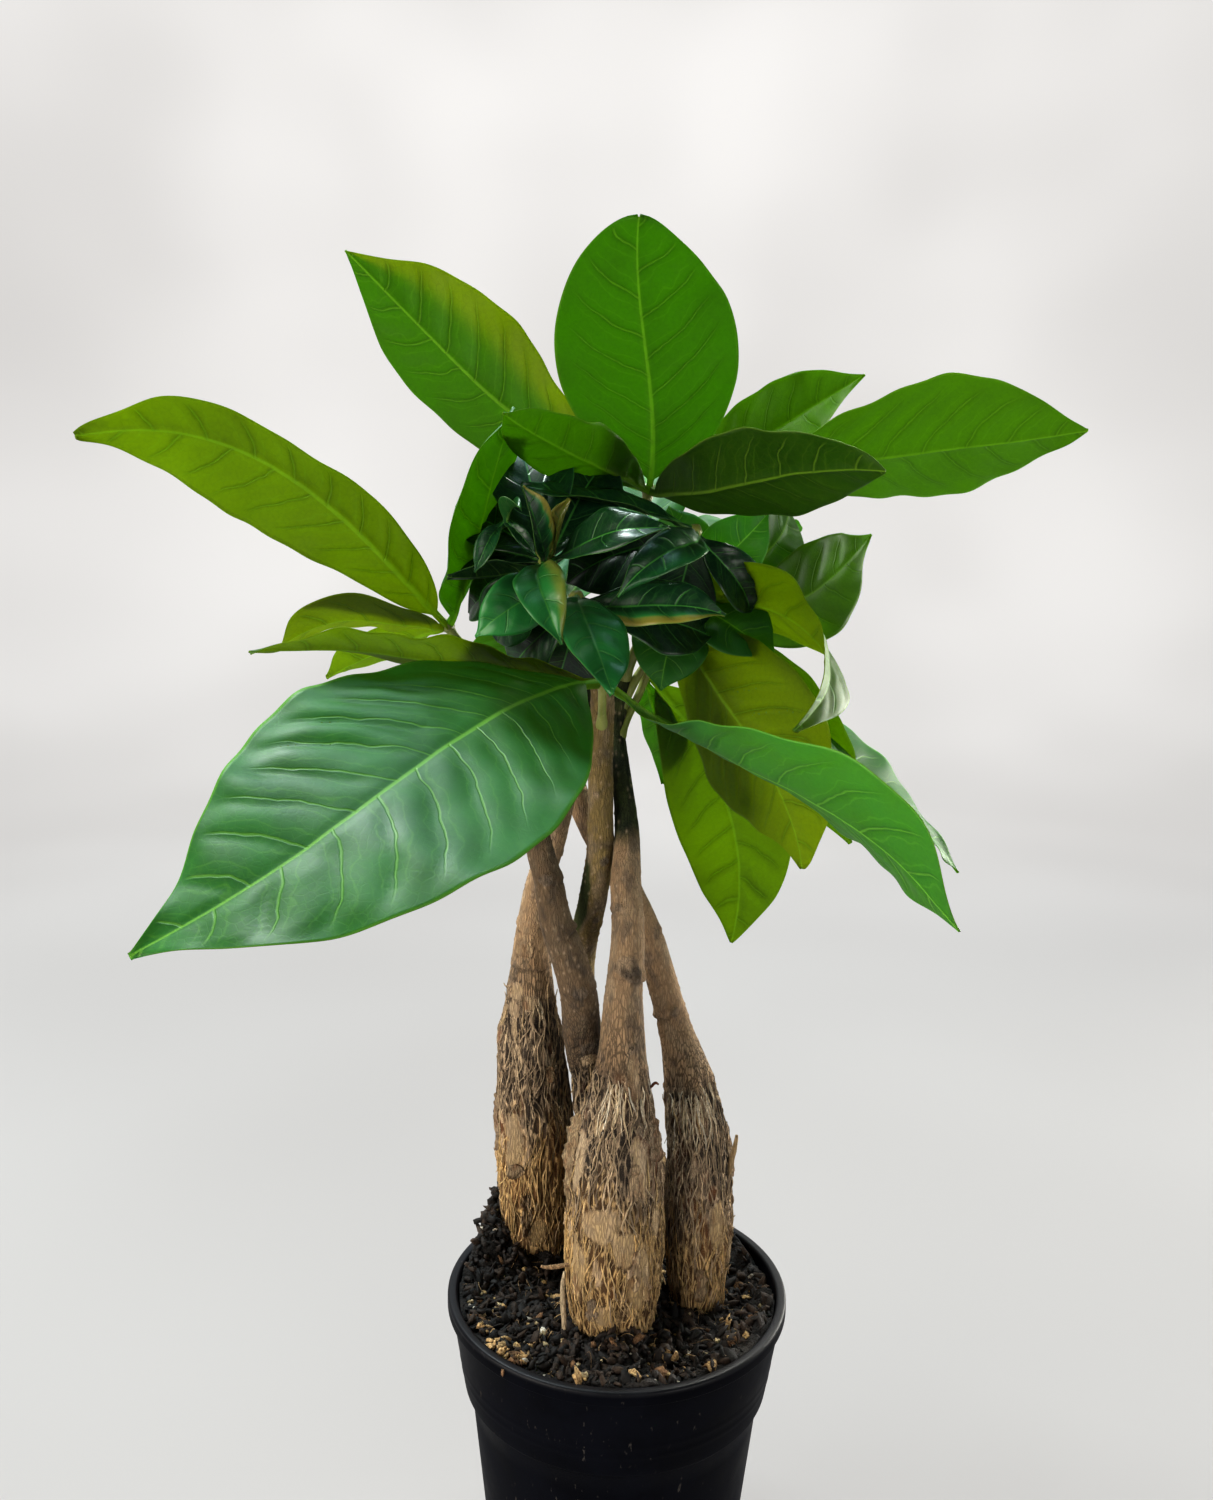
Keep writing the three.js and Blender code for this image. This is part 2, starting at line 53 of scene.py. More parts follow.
POT = dict(
    height=105, rim=60, lip=4.5, lip_depth=3.4, collar_drop=33, collar=54, step=3,
    shoulder=51.5, foot=44, foot_edge=1.5, wall=1.3, floor=3.4, pad=14, foot_width=8,
    groove=2, drains=8, drain_radius=3.5, drain_circle=26, segments=144,
    lines=(79.0, 82.6), line_height=0.16, line_width=0.45,  # fine lines moulded on the collar
    lip_back=1.6,  # how far the collar's top stands back under the lip
    # The radii of its rounded edges: of the step, under, outside and inside the lip, and
    # round the floor.
    round_step=1.2, round_under=0.5, round_out=1.1, round_in=0.9, round_floor=1.4,
)
GAP = 0.35  # clear space left between pieces that touch on the real plant

SOIL = dict(
    level=99, lump=1.5, swell=2.2, rings=92, segments=288,
    rise=3.2, rise_from=0.84, rise_to=0.97,  # how far it is heaped up towards the wall
    clear=1.6,  # distance that the places of loose pieces keep from the wall
)
HEAPS = [(-43, 29, 20, 13), (0, -32, 7, 17)]  # x, y, height, spread

# Fine roots and coir fibres that lie in the soil.
SOIL_FIBRES = dict(count=110, seed=51, length=(3, 10), bend=1.2, lift=(0.5, 2.2),
                   radius=(0.08, 0.2))

ROOT_DEPTH = 62  # height at which the buried ends of the trunks stop
TRUNK_STEP = 0.85  # length of trunk between two rings of points
TRUNK_SIDES = 160

# Each trunk: (x, y, z, radius) from the soil line to its top.
TRUNKS = {
    "left": [
        (-31, 31, 96, 11), (-32, 31, 118, 14), (-32, 30, 146, 14.3), (-33, 28, 170, 13.3),
        (-33, 25, 189, 11.5), (-33, 20, 212, 7.6), (-32, 14, 236, 5.2), (-29, 8, 251, 4.7),
        (-25, 4, 265, 4.5), (-22, 2, 279, 4.2), (-18, 3, 296, 4.0), (-16, 6, 313, 3.7),
        (-18, -2, 330, 3.2),
    ],
    "crossing": [
        (0, 19, 98, 11), (0, 19, 124, 13), (-5, 19, 150, 10.3), (-10, 14, 168, 7.4),
        (-12, 6, 184, 6.5), (-14, -1, 199, 6.4), (-15, -7, 214, 6.3), (-18, -10, 226, 6.0),
        (-23, -12, 241, 5.4), (-26, -12, 256, 4.8), (-29, -12, 267, 4.4), (-33, -11, 288, 3.9),
        (-37, -8, 307, 3.6), (-42, -6, 324, 3.3),
    ],
    "front": [
        (-1, -17, 96, 12.5), (-2, -17, 112, 15.8), (-2, -17, 134, 16.4), (-2, -16, 156, 15.6),
        (-1, -15, 173, 13.0), (0, -15, 185, 10.1), (0, -15, 198, 7.9), (0, -14, 215, 6.5),
        (1, -13, 235, 5.6), (0, -11, 255, 5.1), (0, -7, 271, 4.0), (-2, 0, 287, 3.4),
        (-4, 8, 302, 3.2), (-2, 11, 320, 3.0),
    ],
    "rear": [
        (9, 42, 98, 8.5), (8, 46, 124, 11.3), (-6, 42, 150, 8.6), (-12, 30, 184, 5.9),
        (-15, 19, 209, 5.1), (-14, 8, 228, 4.8), (-11, -1, 246, 4.8), (-9, -6, 262, 4.5),
        (-9, -8, 281, 4.3), (-9, -8, 295, 4.1), (-9, -8, 315, 3.9), (-10, -9, 333, 3.6),
    ],
    "right": [
        (29, 0, 96, 9.0), (28, 2, 126, 12.0), (28, 5, 151, 11.1), (26, 7, 167, 10.0),
        (24, 9, 179, 8.6), (19, 10, 196, 6.0), (13, 12, 216, 5.3), (8, 13, 231, 5.1),
        (-1, 15, 249, 4.9), (-10, 17, 263, 4.6), (-17, 18, 277, 4.4), (-23, 17, 295, 4.1),
        (-26, 14, 312, 3.8),
    ],
}

# How each trunk's bark looks. neck: the height where the swelling's wiry bark ends. tan: up
# to this height it is ochre. green: from this height the stem turns green. strands: how many
# wiry strands cover the swelling. painted_light: painted light and shade, a factor on the
# colours of its bark's surface that makes it brighter or darker beside the other trunks, as
# light falls on it; the crossing trunk is painted darker as if it stood in shade. stem: its
# colour above the swelling. An azimuth is in degrees: -90 faces front, 180 left, 0 right.
# rings: height and strength of the scars round the stem. patches: where the bark has peeled,
# as height, azimuth, half height and half width. moss: a green patch, given in the same way.
# knots: rough scabs, as height, azimuth and radius. flaps: loose plates of bark, as height,
# azimuth, half height, half width and how far the free side stands off. fans: pale fibres
# that spread down from a scar, as height, azimuth, number, length and spread in degrees.
BARK = {
    "left": dict(
        neck=206, tan=155, green=300, strands=430, painted_light=1.3,
        rings=[(217, 0.6), (233, 0.7), (262, 0.5), (286, 0.4)],
        patches=[(150, -116, 11.5, 4.2), (208, -128, 3.6, 2.6), (205, -88, 2.6, 2.9),
                 (201, -132, 2.8, 2.4), (197, -160, 5.5, 1.6), (194, -128, 3.2, 1.8),
                 (224, -112, 3, 3), (112, -78, 6, 3.6), (174, -150, 2.2, 1.6)],
        flaps=[(138, -112, 3, 2.2, 1.3), (177, -58, 3.4, 1.3, 1.6), (120, -95, 9, 1.6, 0.9),
               (150, 178, 12, 2, 1.2)],
        fans=[(206, -75, 9, 10, 50)],
    ),
    "crossing": dict(
        neck=188, tan=150, green=282, strands=170, painted_light=0.5,
        knots=[(218, -75, 2.6), (256, -95, 2.4), (197, -70, 3.0)],
        rings=[(187, 0.5), (198, 0.8), (218, 0.5), (238, 1.0), (256, 0.5), (272, 0.5)],
        patches=[(184, -62, 6, 2.6), (192, -75, 2.4, 3.4)],
        flaps=[(180, -80, 3.5, 1.5, 1.0)],
        fans=[],
    ),
    "front": dict(
        neck=192, tan=147, green=268, strands=600, painted_light=0.95,
        knots=[(228, -94, 4.6), (225, -68, 3.2), (247, -120, 1.8), (175, -55, 2.6)],
        rings=[(191, 0.5), (224.5, 1.0), (246, 0.3), (258, 0.25)],
        patches=[(190, -68, 7.5, 2.5), (163, -52, 11.5, 4.4), (124, -55, 13, 6.2),
                 (143, -106, 6, 6.5), (135, -76, 7, 4.5), (161, -150, 13, 4.2),
                 (128, -135, 12, 4.0),
                 (174, -124, 3, 2.4), (140, -20, 5, 2.5), (113, -100, 4, 3)],
        flaps=[(163, -172, 12, 3.2, 2.2), (170, -24, 8, 2.4, 1.9), (153, -178, 8, 2, 1.6),
               (158, -66, 6, 1.6, 1.1), (128, -62, 7, 1.3, 0.8), (115, -112, 4, 1.6, 1.0)],
        fans=[(190, -104, 16, 21, 80), (187, -62, 3, 14, 40), (189, -35, 4, 14, 40)],
    ),
    "rear": dict(
        neck=160, tan=130, green=400, strands=120, stem=(0.30, 0.22, 0.09), painted_light=1.0,
        knots=[(262, -70, 1.7), (284, -110, 1.5), (241, -60, 1.8)],
        moss=(246, -148, 15, 3.6),
        rings=[(238, 0.5), (268, 0.35), (296, 0.4)],
        patches=[],
        flaps=[],
        fans=[],
    ),
    "right": dict(
        neck=177, tan=128, green=292, strands=400, painted_light=1.15,
        knots=[(203, -75, 2.0)],
        rings=[(176.5, 0.8), (203, 0.8), (231, 0.4), (256, 0.5)],
        patches=[(130, -55, 9, 3.6), (110, -82, 5, 2.2)],
        flaps=[(109, -88, 6.5, 1.7, 1.2), (152, 4, 9, 1.6, 1.3), (120, -20, 8, 1.4, 0.9)],
        fans=[(175.5, -95, 22, 21, 110), (176, -45, 6, 16, 50), (176, -150, 5, 14, 40)],
    ),
}

# Small things on the trunks: a stub, a spur or a fibre along points, with its radius and tone.
TWIGS = {
    "front": [
        ([(8, -16, 183), (10, -17, 186.5), (11.5, -17.5, 188), (13, -18, 187)], 0.5,
         (0.20, 0.07, 0.035)),
        ([(-15, -22, 124), (-19, -23, 125.4), (-22, -23, 123.6), (-26, -24, 125.4)], 0.8,
         (0.45, 0.30, 0.17)),
        ([(-18.0, -24, 123), (-19.6, -26, 116), (-16.9, -27, 110), (-18.2, -29, 102)], 0.95,
         (0.66, 0.53, 0.36)),
    ],
    "right": [
        ([(38.4, 3, 140), (39.6, 2, 148), (40.6, 1.5, 154), (41.0, 1.2, 161)], 0.95,
         (0.50, 0.36, 0.20)),
    ],
}

# Heights in the bark's relief, on the wiry swelling and on the neck above it: of the ridges, of
# the finer hairs on them, of broad lumps and of flaky plates. sink: how far it is all set back.
SWELLING = dict(ridges=1.0, hairs=0.45, sink=0.95, lumps=0.8, plates=0.4)
NECK = dict(ridges=0.3, hairs=0.16, lumps=0.25, sink=0.12)
# Separate fibres, from what to what: their length, how they sway and lean sideways, how far
# they stand off and how thick they are. steps: points along each. sink: how far a strand dives
# inside a peeled patch.
STRANDS = dict(steps=14, length=(8, 26), swing=(0.5, 1.9), drift=0.26, lift=(0.06, 0.34),
               radius=(0.14, 0.36), sink=1.3)
FANS = dict(steps=12, start=(-4, 1.2), sway=(0.2, 0.7), lift=(0.1, 0.4), radius=(0.2, 0.38))
# A loose plate of bark: its points, and how far its outer and inner side stand off.
FLAP = dict(rows=25, columns=9, outer=0.35, inner=0.1)
PEELINGS = dict(count=60, steps=9, length=(4, 13), stand=(0.4, 1.9), radius=(0.12, 0.3))

# Colours, as linear red, green and blue.
TAN = (0.78, 0.57, 0.30)
OCHRE = (0.64, 0.43, 0.19)
CHAFF = (0.64, 0.49, 0.34)  # peeled bark
PALE_FIBRE = (0.86, 0.78, 0.64)
GREY_TAN = (0.62, 0.48, 0.32)
GREY_BARK = (0.30, 0.22, 0.15)
NECK_TAN = (0.40, 0.31, 0.21)
NECK_GREY = (0.17, 0.135, 0.105)
DARK_BARK = (0.022, 0.016, 0.012)
RUST = (0.22, 0.085, 0.03)
STEM = (0.42, 0.29, 0.175)
GREEN_STEM = (0.075, 0.095, 0.028)
DARK_GREEN = (0.012, 0.02, 0.008)


def blade(tip, face, width, bow, sway, fold, **more):
    """One leaflet: its tip, the way its upper side faces, its width, how far the midrib bows
    up and sways sideways near its foot and its tip, and how far the halves fold up."""
    return dict(tip=tip, face=face, width=width, bow=bow, sway=sway, fold=fold, **more)


# Each leaf: the trunk that carries it, the height where its stalk leaves that trunk, and the
# hub where its leaflets meet.
LEAVES = {
    "leaf_top": dict(trunk="rear", start=326, hub=(5, 5, 383), leaflets=[
        blade((-96, 15, 459), (0.35, 0.85, 0.35), 48, (3, 12), (18, 12), 12, widest=0.58,
              yellow=0.12, edge=(0.9, 0.12), dark=0.15),
        blade((-1, -42, 455), (0, 0.85, 0.55), 57, (6, 8), (-6, 4), 4, widest=0.47, full=0.6,
              yellow=0.03, point=0, dark=0.15),
        blade((85, 60, 430), (-0.6, 0.75, 0.2), 32, (3, 6), (-9, -4), 10, yellow=0.25),
        blade((146, 0, 404), (-0.1, 0.6, 0.8), 58, (6, 4), (-2, -6), 8, stalk=0.25, yellow=0.3,
              dark=0.15),
        # Painted shade: this leaflet is made dark to stand in for the shadow of the leaflets above
        # it.
        blade((66, -70, 384), (0.4, 0.5, 0.75), 35, (-8, 4), (0, 4), 8, widest=0.5, full=0.7,
              dark=0.6),
        blade((-37, -65, 398), (-0.3, 0.4, 0.85), 25, (-3, -1), (-3, 3), 8, full=0.75),
    ]),
    "leaf_left": dict(trunk="crossing", start=318, hub=(-59, -12, 338), leaflets=[
        blade((-155, -60, 390), (-0.2, 0.85, 0.45), 31, (0, 24), (-14, -27), 8, widest=0.5,
              full=0.55, yellow=0.8,
              trim=((1, 0.95, 0.8, 0.6, 0.65, 0.95, 0.9), (1, 1.1, 1.25, 1.4, 1.4, 1.25, 1))),
        blade((-36, -45, 402), (-0.85, 0.35, 0.4), 46, (-6, -3), (5, 8), 12, curl=(0, -45)),
        blade((-111, -20, 331), (-0.15, 0.35, 0.9), 30, (0, 10), (-8, -6), 8, widest=0.5,
              full=0.7, yellow=0.95),
        blade((-104, 14, 318), (0.1, 0.5, 0.85), 18, (2, 4), (0, 0), 14, yellow=0.85),
    ]),
    "leaf_front": dict(trunk="rear", start=303, hub=(-9, -24, 322), leaflets=[
        blade((-109, -150, 272), (0.15, -0.45, 0.87), 81, (19, 19), (6, -20), 3, widest=0.51,
              full=0.92, quilt=1.1, spacing=12),
        # This one twists, and its upper side is the side that the photograph shows.
        blade((81, -110, 269), (-0.35, 0.2, -0.9), 58, (5, -22), (-6, -12), -10, twist=-50,
              widest=0.66),
        blade((-104, -75, 333), (0.15, 0.35, 0.93), 34, (0, 9), (5, 8), 8, widest=0.53,
              full=0.6, yellow=0.85),
    ]),
    "leaf_right": dict(trunk="front", start=307, hub=(17, 12, 347), leaflets=[
        blade((90, 60, 372), (-0.5, 0.85, 0), 36, (-12, -5), (-20, -13), -8, yellow=0.2),
        blade((58, 62, 384), (-0.4, 0.9, 0), 36, (-11, -16), (-6, -7), -8, yellow=0.1),
        blade((46, -60, 312), (0.8, 0.1, 0.6), 38, (20, 45), (10, -20), 8, widest=0.45,
              yellow=0.85),
        blade((54, -35, 266), (0.65, 0.7, 0.25), 56, (-3, -2), (-11, 20), 6, widest=0.54,
              full=0.7, yellow=0.95, quilt=1.7, spacing=9),
        blade((81, 25, 261), (0.5, 0.75, 0.45), 38, (12, 8), (5, 0), 8, yellow=0.5),
        blade((122, 30, 250), (0.55, -0.3, 0.75), 36, (0, 7), (0, 0), 8),
    ]),
    "leaf_low": dict(trunk="front", start=298, hub=(6, 14, 322), leaflets=[
        blade((40, 30, 222), (0.12, 0.97, 0.2), 43, (9, 2), (14, 20), 8, widest=0.52, full=0.7,
              yellow=0.65),
        blade((14, 35, 280), (0.6, 0.6, 0.5), 22, (0, 4), (0, 0), 12),
    ]),
    "leaf_young_left": dict(trunk="left", start=324, hub=(-26, -42, 358), leaflets=[
        blade((-32, -58, 379), (0.85, -0.5, 0), 14, (4, 4), (-4, -4), 25, edge=(0, 1)),
        blade((-20, -72, 336), (-0.15, -0.6, 0.8), 15, (8, 14), (5, 3), 18, yellow=0.6,
              edge=(0.85, 0.45)),
        blade((-54, -50, 354), (-0.2, 0.3, 0.9), 13, (0, 0), (5, 6), 10),
        blade((-45, -58, 337), (0.3, -0.85, 0.4), 17, (5, 12), (-8, -1), 10, yellow=0.55),
        blade((9, -66, 368), (-0.35, -0.7, 0.6), 16, (0, 14), (-3, 6), 14),
    ]),
    "leaf_young_front": dict(trunk="rear", start=329, hub=(-17, -38, 348), leaflets=[
        blade((-6, -76, 323), (0.25, -0.5, 0.85), 21, (10, 5), (6, 2), 10, quilt=1.1,
              yellow=0.55),
        blade((26, -52, 344), (-0.2, -0.8, 0.55), 16, (4, 10), (8, 0), 12, edge=(0.1, 1)),
    ]),
    "leaf_young_right": dict(trunk="front", start=318, hub=(19, -18, 369), leaflets=[
        blade((-5, -62, 349), (0.5, -0.55, 0.65), 13, (10, 16), (-10, 3), 10, edge=(0.3, 0)),
        blade((-34, -36, 381), (0.35, -0.3, 0.9), 15, (6, 0), (0, 0), 14),
    ]),
    "leaf_back_left": dict(trunk="right", start=306, hub=(-24, 42, 340), leaflets=[
        blade((-66, 140, 385), (0.1, -0.3, 0.9), 44, (12, 14), (0, 0), 8),
        blade((-10, 152, 352), (0, 0, 1), 46, (12, 16), (0, 0), 8),
        blade((-58, 118, 300), (-0.3, 0.4, 0.8), 40, (10, 14), (0, 0), 8),
    ]),
    "leaf_back_right": dict(trunk="left", start=318, hub=(10, 50, 358), leaflets=[
        blade((2, 132, 418), (0, -0.6, 0.7), 46, (10, 12), (0, 0), 8),
        blade((72, 132, 372), (0, -0.1, 1), 42, (10, 14), (0, 0), 8),
        blade((46, 126, 300), (0.3, 0.4, 0.8), 42, (12, 16), (0, 0), 8),
    ]),
}

BLADE_STEP = 1.25  # length of one face of a leaflet
LAMINA = 0.36  # thickness of a leaflet between its veins
STALK_WIDTH = 2.2
TIP_WIDTH = 0.7
VEIN_SPACING = 11  # mean distance between side veins
MARGIN_WAVES = (2.0, 3.2)  # from how many to how many waves 100 mm of margin has
VEIN_SPREAD = 0.72  # below 1 the side veins stand closer together near the foot


def filler(tip, width, face=(0.1, -0.9, 0.45), bow=(3, 6), sway=(2, 0), fold=10, yellow=0):
    """A small leaflet that fills the middle of the crown. Under a young leaf it is nearly black:
    partly a hidden leaflet and partly painted shade for the crown's dark middle.
    """
    return blade(tip, face, width, bow, sway, fold, yellow=yellow)


# These are listed by the leaf that carries them.
INNER = {
    "leaf_young_left": [
        filler((-40, -8, 402), 28, (0.1, -0.9, 0.4), (3, 5), (0, 3)),
        filler((-8, -8, 391), 25, bow=(3, 5), sway=(0, -3)),
        filler((-42, -22, 334), 20),
        filler((-54, -20, 373), 20),
        filler((-52, -12, 342), 20),
        filler((-58, -14, 360), 20),
    ],
    "leaf_young_front": [
        filler((25, -12, 336), 25),
        filler((-38, -12, 324), 22, (0.1, -0.8, 0.45), sway=(-2, 0)),
        filler((-24, -4, 318), 22, sway=(-2, 0)),
    ],
    "leaf_young_right": [
        filler((-21, -4, 352), 27, sway=(0, 3)),
        filler((13, 0, 334), 25, (0.1, -0.9, 0.4), (3, 4), (0, 2)),
        filler((38, -8, 344), 18, (0.1, -0.9, 0.5), (5, 9), fold=16),
    ],
    "leaf_right": [
        filler((10, -8, 318), 26, (0.1, -0.9, 0.4), sway=(0, 2), yellow=0.1),
        filler((46, -14, 330), 24, (0.1, -0.9, 0.5), (5, 8), (0, 2), yellow=0.1),
        filler((44, 0, 376), 22, (0.1, -0.9, 0.3), sway=(0, 2)),
        filler((12, 8, 378), 24, (0.1, -0.9, 0.3), sway=(0, 2)),
    ],
}

# A young shoot beside the left hub: its stem and its leaflets.
SHOOT = dict(
    leaf="leaf_young_left",
    stem=[(-26, -42, 358), (-30, -47, 364), (-34, -51, 368), (-37, -54, 369)],
    leaflets=[
        blade((-45, -60, 355), (0.2, -0.8, 0.5), 7, (4, 5), (2, 0), 24, curl=(20, 20)),
        blade((-32, -64, 373), (0.1, -0.6, 0.9), 8, (2, 4), (0, 0), 26, curl=(50, 50),
              yellow=0.35),
        blade((-28, -58, 360), (-0.2, -0.8, 0.6), 6, (4, 3), (0, 0), 24, curl=(30, 30)),
    ],
)
# A golden bud that has just opened, at the left hub.
BUD = blade((-19, -49, 376), (-0.7, -0.6, 0.2), 9, (-2, 4), (0, 3), 20, curl=(60, 60), yellow=1)

# What a leaflet has unless its own entry says otherwise.
BLADE = dict(
    stalk=0.05,  # share of its length that is its own short stalk
    widest=0.56,  # where along its length it is widest
    full=0.85,  # below 1 the outline is fuller, above 1 it is leaner
    twist=0,  # degrees that it turns from hub to tip
    curl=(0, 0),  # degrees that its left and right halves roll up
    trim=((1, 1), (1, 1)),  # the left and right half's width from hub to tip, as shares
    wave=0.9,  # height of the waves along its margins
    quilt=0.9,  # height of the pillows between its side veins
    spacing=VEIN_SPACING,
    yellow=0.1,  # how far its green turns yellow, from 0 to 1
    edge=None,  # the same at its left and right margins, where that differs
    # dark is painted shade: it dims the leaflet that lies in the shadow of those above it, and a
    # little those that the lamps light more than the others.
    dark=0,  # how little light comes through it, from 0 to 1, as painted shade
    point=0.35,  # how far its tip is drawn out
)
# The two sides of mature and young leaves. deep and fresh are the colours between which a side
# is mottled, and through that of the light which comes through it. Each is given for a green
# and for a yellow leaflet, and deep and fresh also for a golden one where there are any.
# vein: the colour of its veins. share: how much light comes through. gloss and level: how
# rough it is and how strongly it shines. relief: the depth of its finest veins.
LEAF_SIDES = {
    "leaf top": dict(
        deep=((0.005, 0.090, 0.014), (0.030, 0.100, 0.006)),
        fresh=((0.016, 0.190, 0.028), (0.070, 0.190, 0.012)), vein=(0.20, 0.50, 0.06),
        through=((0.26, 0.58, 0.001), (0.58, 0.72, 0.006)),
        share=0.42, gloss=0.46, level=0.6, relief=0.10),
    "leaf underside": dict(
        deep=((0.009, 0.034, 0.001), (0.035, 0.055, 0.002)),
        fresh=((0.024, 0.066, 0.002), (0.080, 0.105, 0.006)), vein=(0.14, 0.24, 0.02),
        through=((0.31, 0.60, 0.001), (0.70, 0.76, 0.004)),
        share=0.55, gloss=0.50, level=0.15, relief=0.22),
    # The green colours of the young sides, taken at yellow 0, are nearly black: partly the young
    # leaves' own dark green and partly painted shade for the shaded middle of the crown.
    "young leaf top": dict(
        deep=((0.0008, 0.012, 0.005), (0.020, 0.200, 0.045), (0.150, 0.170, 0.016)),
        fresh=((0.0020, 0.030, 0.011), (0.055, 0.420, 0.090), (0.420, 0.340, 0.070)),
        vein=(0.07, 0.28, 0.05), through=((0.04, 0.24, 0.02), (0.46, 0.62, 0.03)),
        share=0.11, gloss=0.32, level=0.50, relief=0.14),
    "young leaf underside": dict(
        deep=((0.0020, 0.016, 0.005), (0.016, 0.110, 0.020), (0.140, 0.150, 0.014)),
        fresh=((0.0050, 0.034, 0.009), (0.040, 0.200, 0.036), (0.380, 0.320, 0.050)),
        vein=(0.10, 0.22, 0.04), through=((0.06, 0.26, 0.02), (0.50, 0.62, 0.03)),
        share=0.14, gloss=0.36, level=0.26, relief=0.14),
}

# A stalk's radius at its foot and further on, the radius of its hub and how far it arches.
# joint and end: how much thicker it is where it leaves the trunk and under its hub.
STALK = dict(foot=1.9, radius=1.35, hub=2.3, rise=0.45, joint=0.45, end=0.55, sides=18, steps=40)


# ------------------------------------------------------------------ numbers

def unit(v):
    return v / np.maximum(np.linalg.norm(v, axis=-1, keepdims=True), 1e-9)


def smooth(x, low, high):
    s = np.clip((x - low) / (high - low), 0, 1)
    return s * s * (3 - 2 * s)


def lerp(a, b, t):
    return a + (b - a) * t


def blend(colour_a, colour_b, share):
    """Two colours, or arrays of them, mixed by an array of shares."""
    return lerp(np.asarray(colour_a, float), np.asarray(colour_b, float), share[..., None])


def full_turn(sides):
    """Angles that are evenly spread all the way round."""
    return np.linspace(0, 2 * np.pi, sides, endpoint=False)


def bump(x, width):
    """1 at x = 0, and near 0 beyond twice the width."""
    return np.exp(-((x / width) ** 2))


def noise(place, seed=0):
    """Smooth noise from -1 to 1 at each point of place, whose last axis is x, y, z."""
    base = np.floor(place).astype(np.int64)
    f = place - base
    f = f * f * (3 - 2 * f)
    total = np.zeros(place.shape[:-1])
    for corner in np.ndindex(2, 2, 2):
        weight = np.prod(np.where(corner, f, 1 - f), axis=-1)
        total += weight * hashed(base + np.array(corner), seed)
    return 2 * total - 1


def plane(u, v, layer=0):
    """Places on a plane, for noise. Each layer has its own."""
    return np.stack([u, v, layer + 0 * u], axis=-1)


def hashed(cell, seed):
    """A number from 0 to 1 for each whole cell x, y, z."""
    mask = 0xFFFFFFFF
    h = (cell[..., 0] * 0x8DA6B343 + cell[..., 1] * 0xD8163841) & mask
    h = (h + cell[..., 2] * 0xCB1AB31F + seed * 0x9E3779B1) & mask
    h = ((h ^ (h >> 15)) * 0x2C1B3C6D) & mask
    h = ((h ^ (h >> 12)) * 0x297A2D39) & mask
    return (h ^ (h >> 15)) / mask


def fractal(place, octaves, seed=0):
    """Layers of noise, each half as high and twice as fine as the one before."""
    total = sum(noise(place * 2.0 ** i, seed + i) / 2.0 ** i for i in range(octaves))
    return total / (2 - 0.5 ** (octaves - 1))


def ridged(place, octaves, seed=0):
    """Noise with sharp crests, from 0 to 1."""
    layers = [(1 - np.abs(noise(place * 2.1 ** i, seed + i))) ** 3 / 1.8 ** i
              for i in range(octaves)]
    return sum(layers) / sum(1 / 1.8 ** i for i in range(octaves))


def bezier(points, t):
    a, b, c, d = points
    t = t[:, None]
    return a * (1 - t) ** 3 + 3 * b * t * (1 - t) ** 2 + 3 * c * t * t * (1 - t) + d * t ** 3


def spline(values, t, even=True):
    """A Catmull-Rom curve through values, at t from 0 to 1. Its knots are evenly spaced, or
    spaced by the square root of the distance between values."""
    p = np.asarray(values, float)
    p = p.reshape(len(p), -1)
    p = np.vstack([2 * p[0] - p[1], p, 2 * p[-1] - p[-2]])
    at = np.clip(t, 0, 1) * (len(p) - 3)
    k = np.minimum(at.astype(int), len(p) - 4)
    w = (at - k)[:, None]
    p0, p1, p2, p3 = (p[k + i] for i in range(4))
    gap = [np.ones_like(w)] * 3 if even else [
        np.sqrt(np.linalg.norm(b - a, axis=1))[:, None]
        for a, b in ((p0, p1), (p1, p2), (p2, p3))
    ]
    start = (p1 - p0) / gap[0] - (p2 - p0) / (gap[0] + gap[1]) + (p2 - p1) / gap[1]
    end = (p2 - p1) / gap[1] - (p3 - p1) / (gap[1] + gap[2]) + (p3 - p2) / gap[2]
    start, end = start * gap[1], end * gap[1]
    return (p1 + start * w + (3 * (p2 - p1) - 2 * start - end) * w ** 2
            + (2 * (p1 - p2) + start + end) * w ** 3)


def around(line):
    """Directions across a line of points, and its tangents."""
    tangent = unit(np.gradient(line, axis=0))
    across = unit(np.cross(np.array([0.0, 1.0, 0.0]), tangent))
    return across, np.cross(across, tangent), tangent


# ------------------------------------------------------------------ meshes

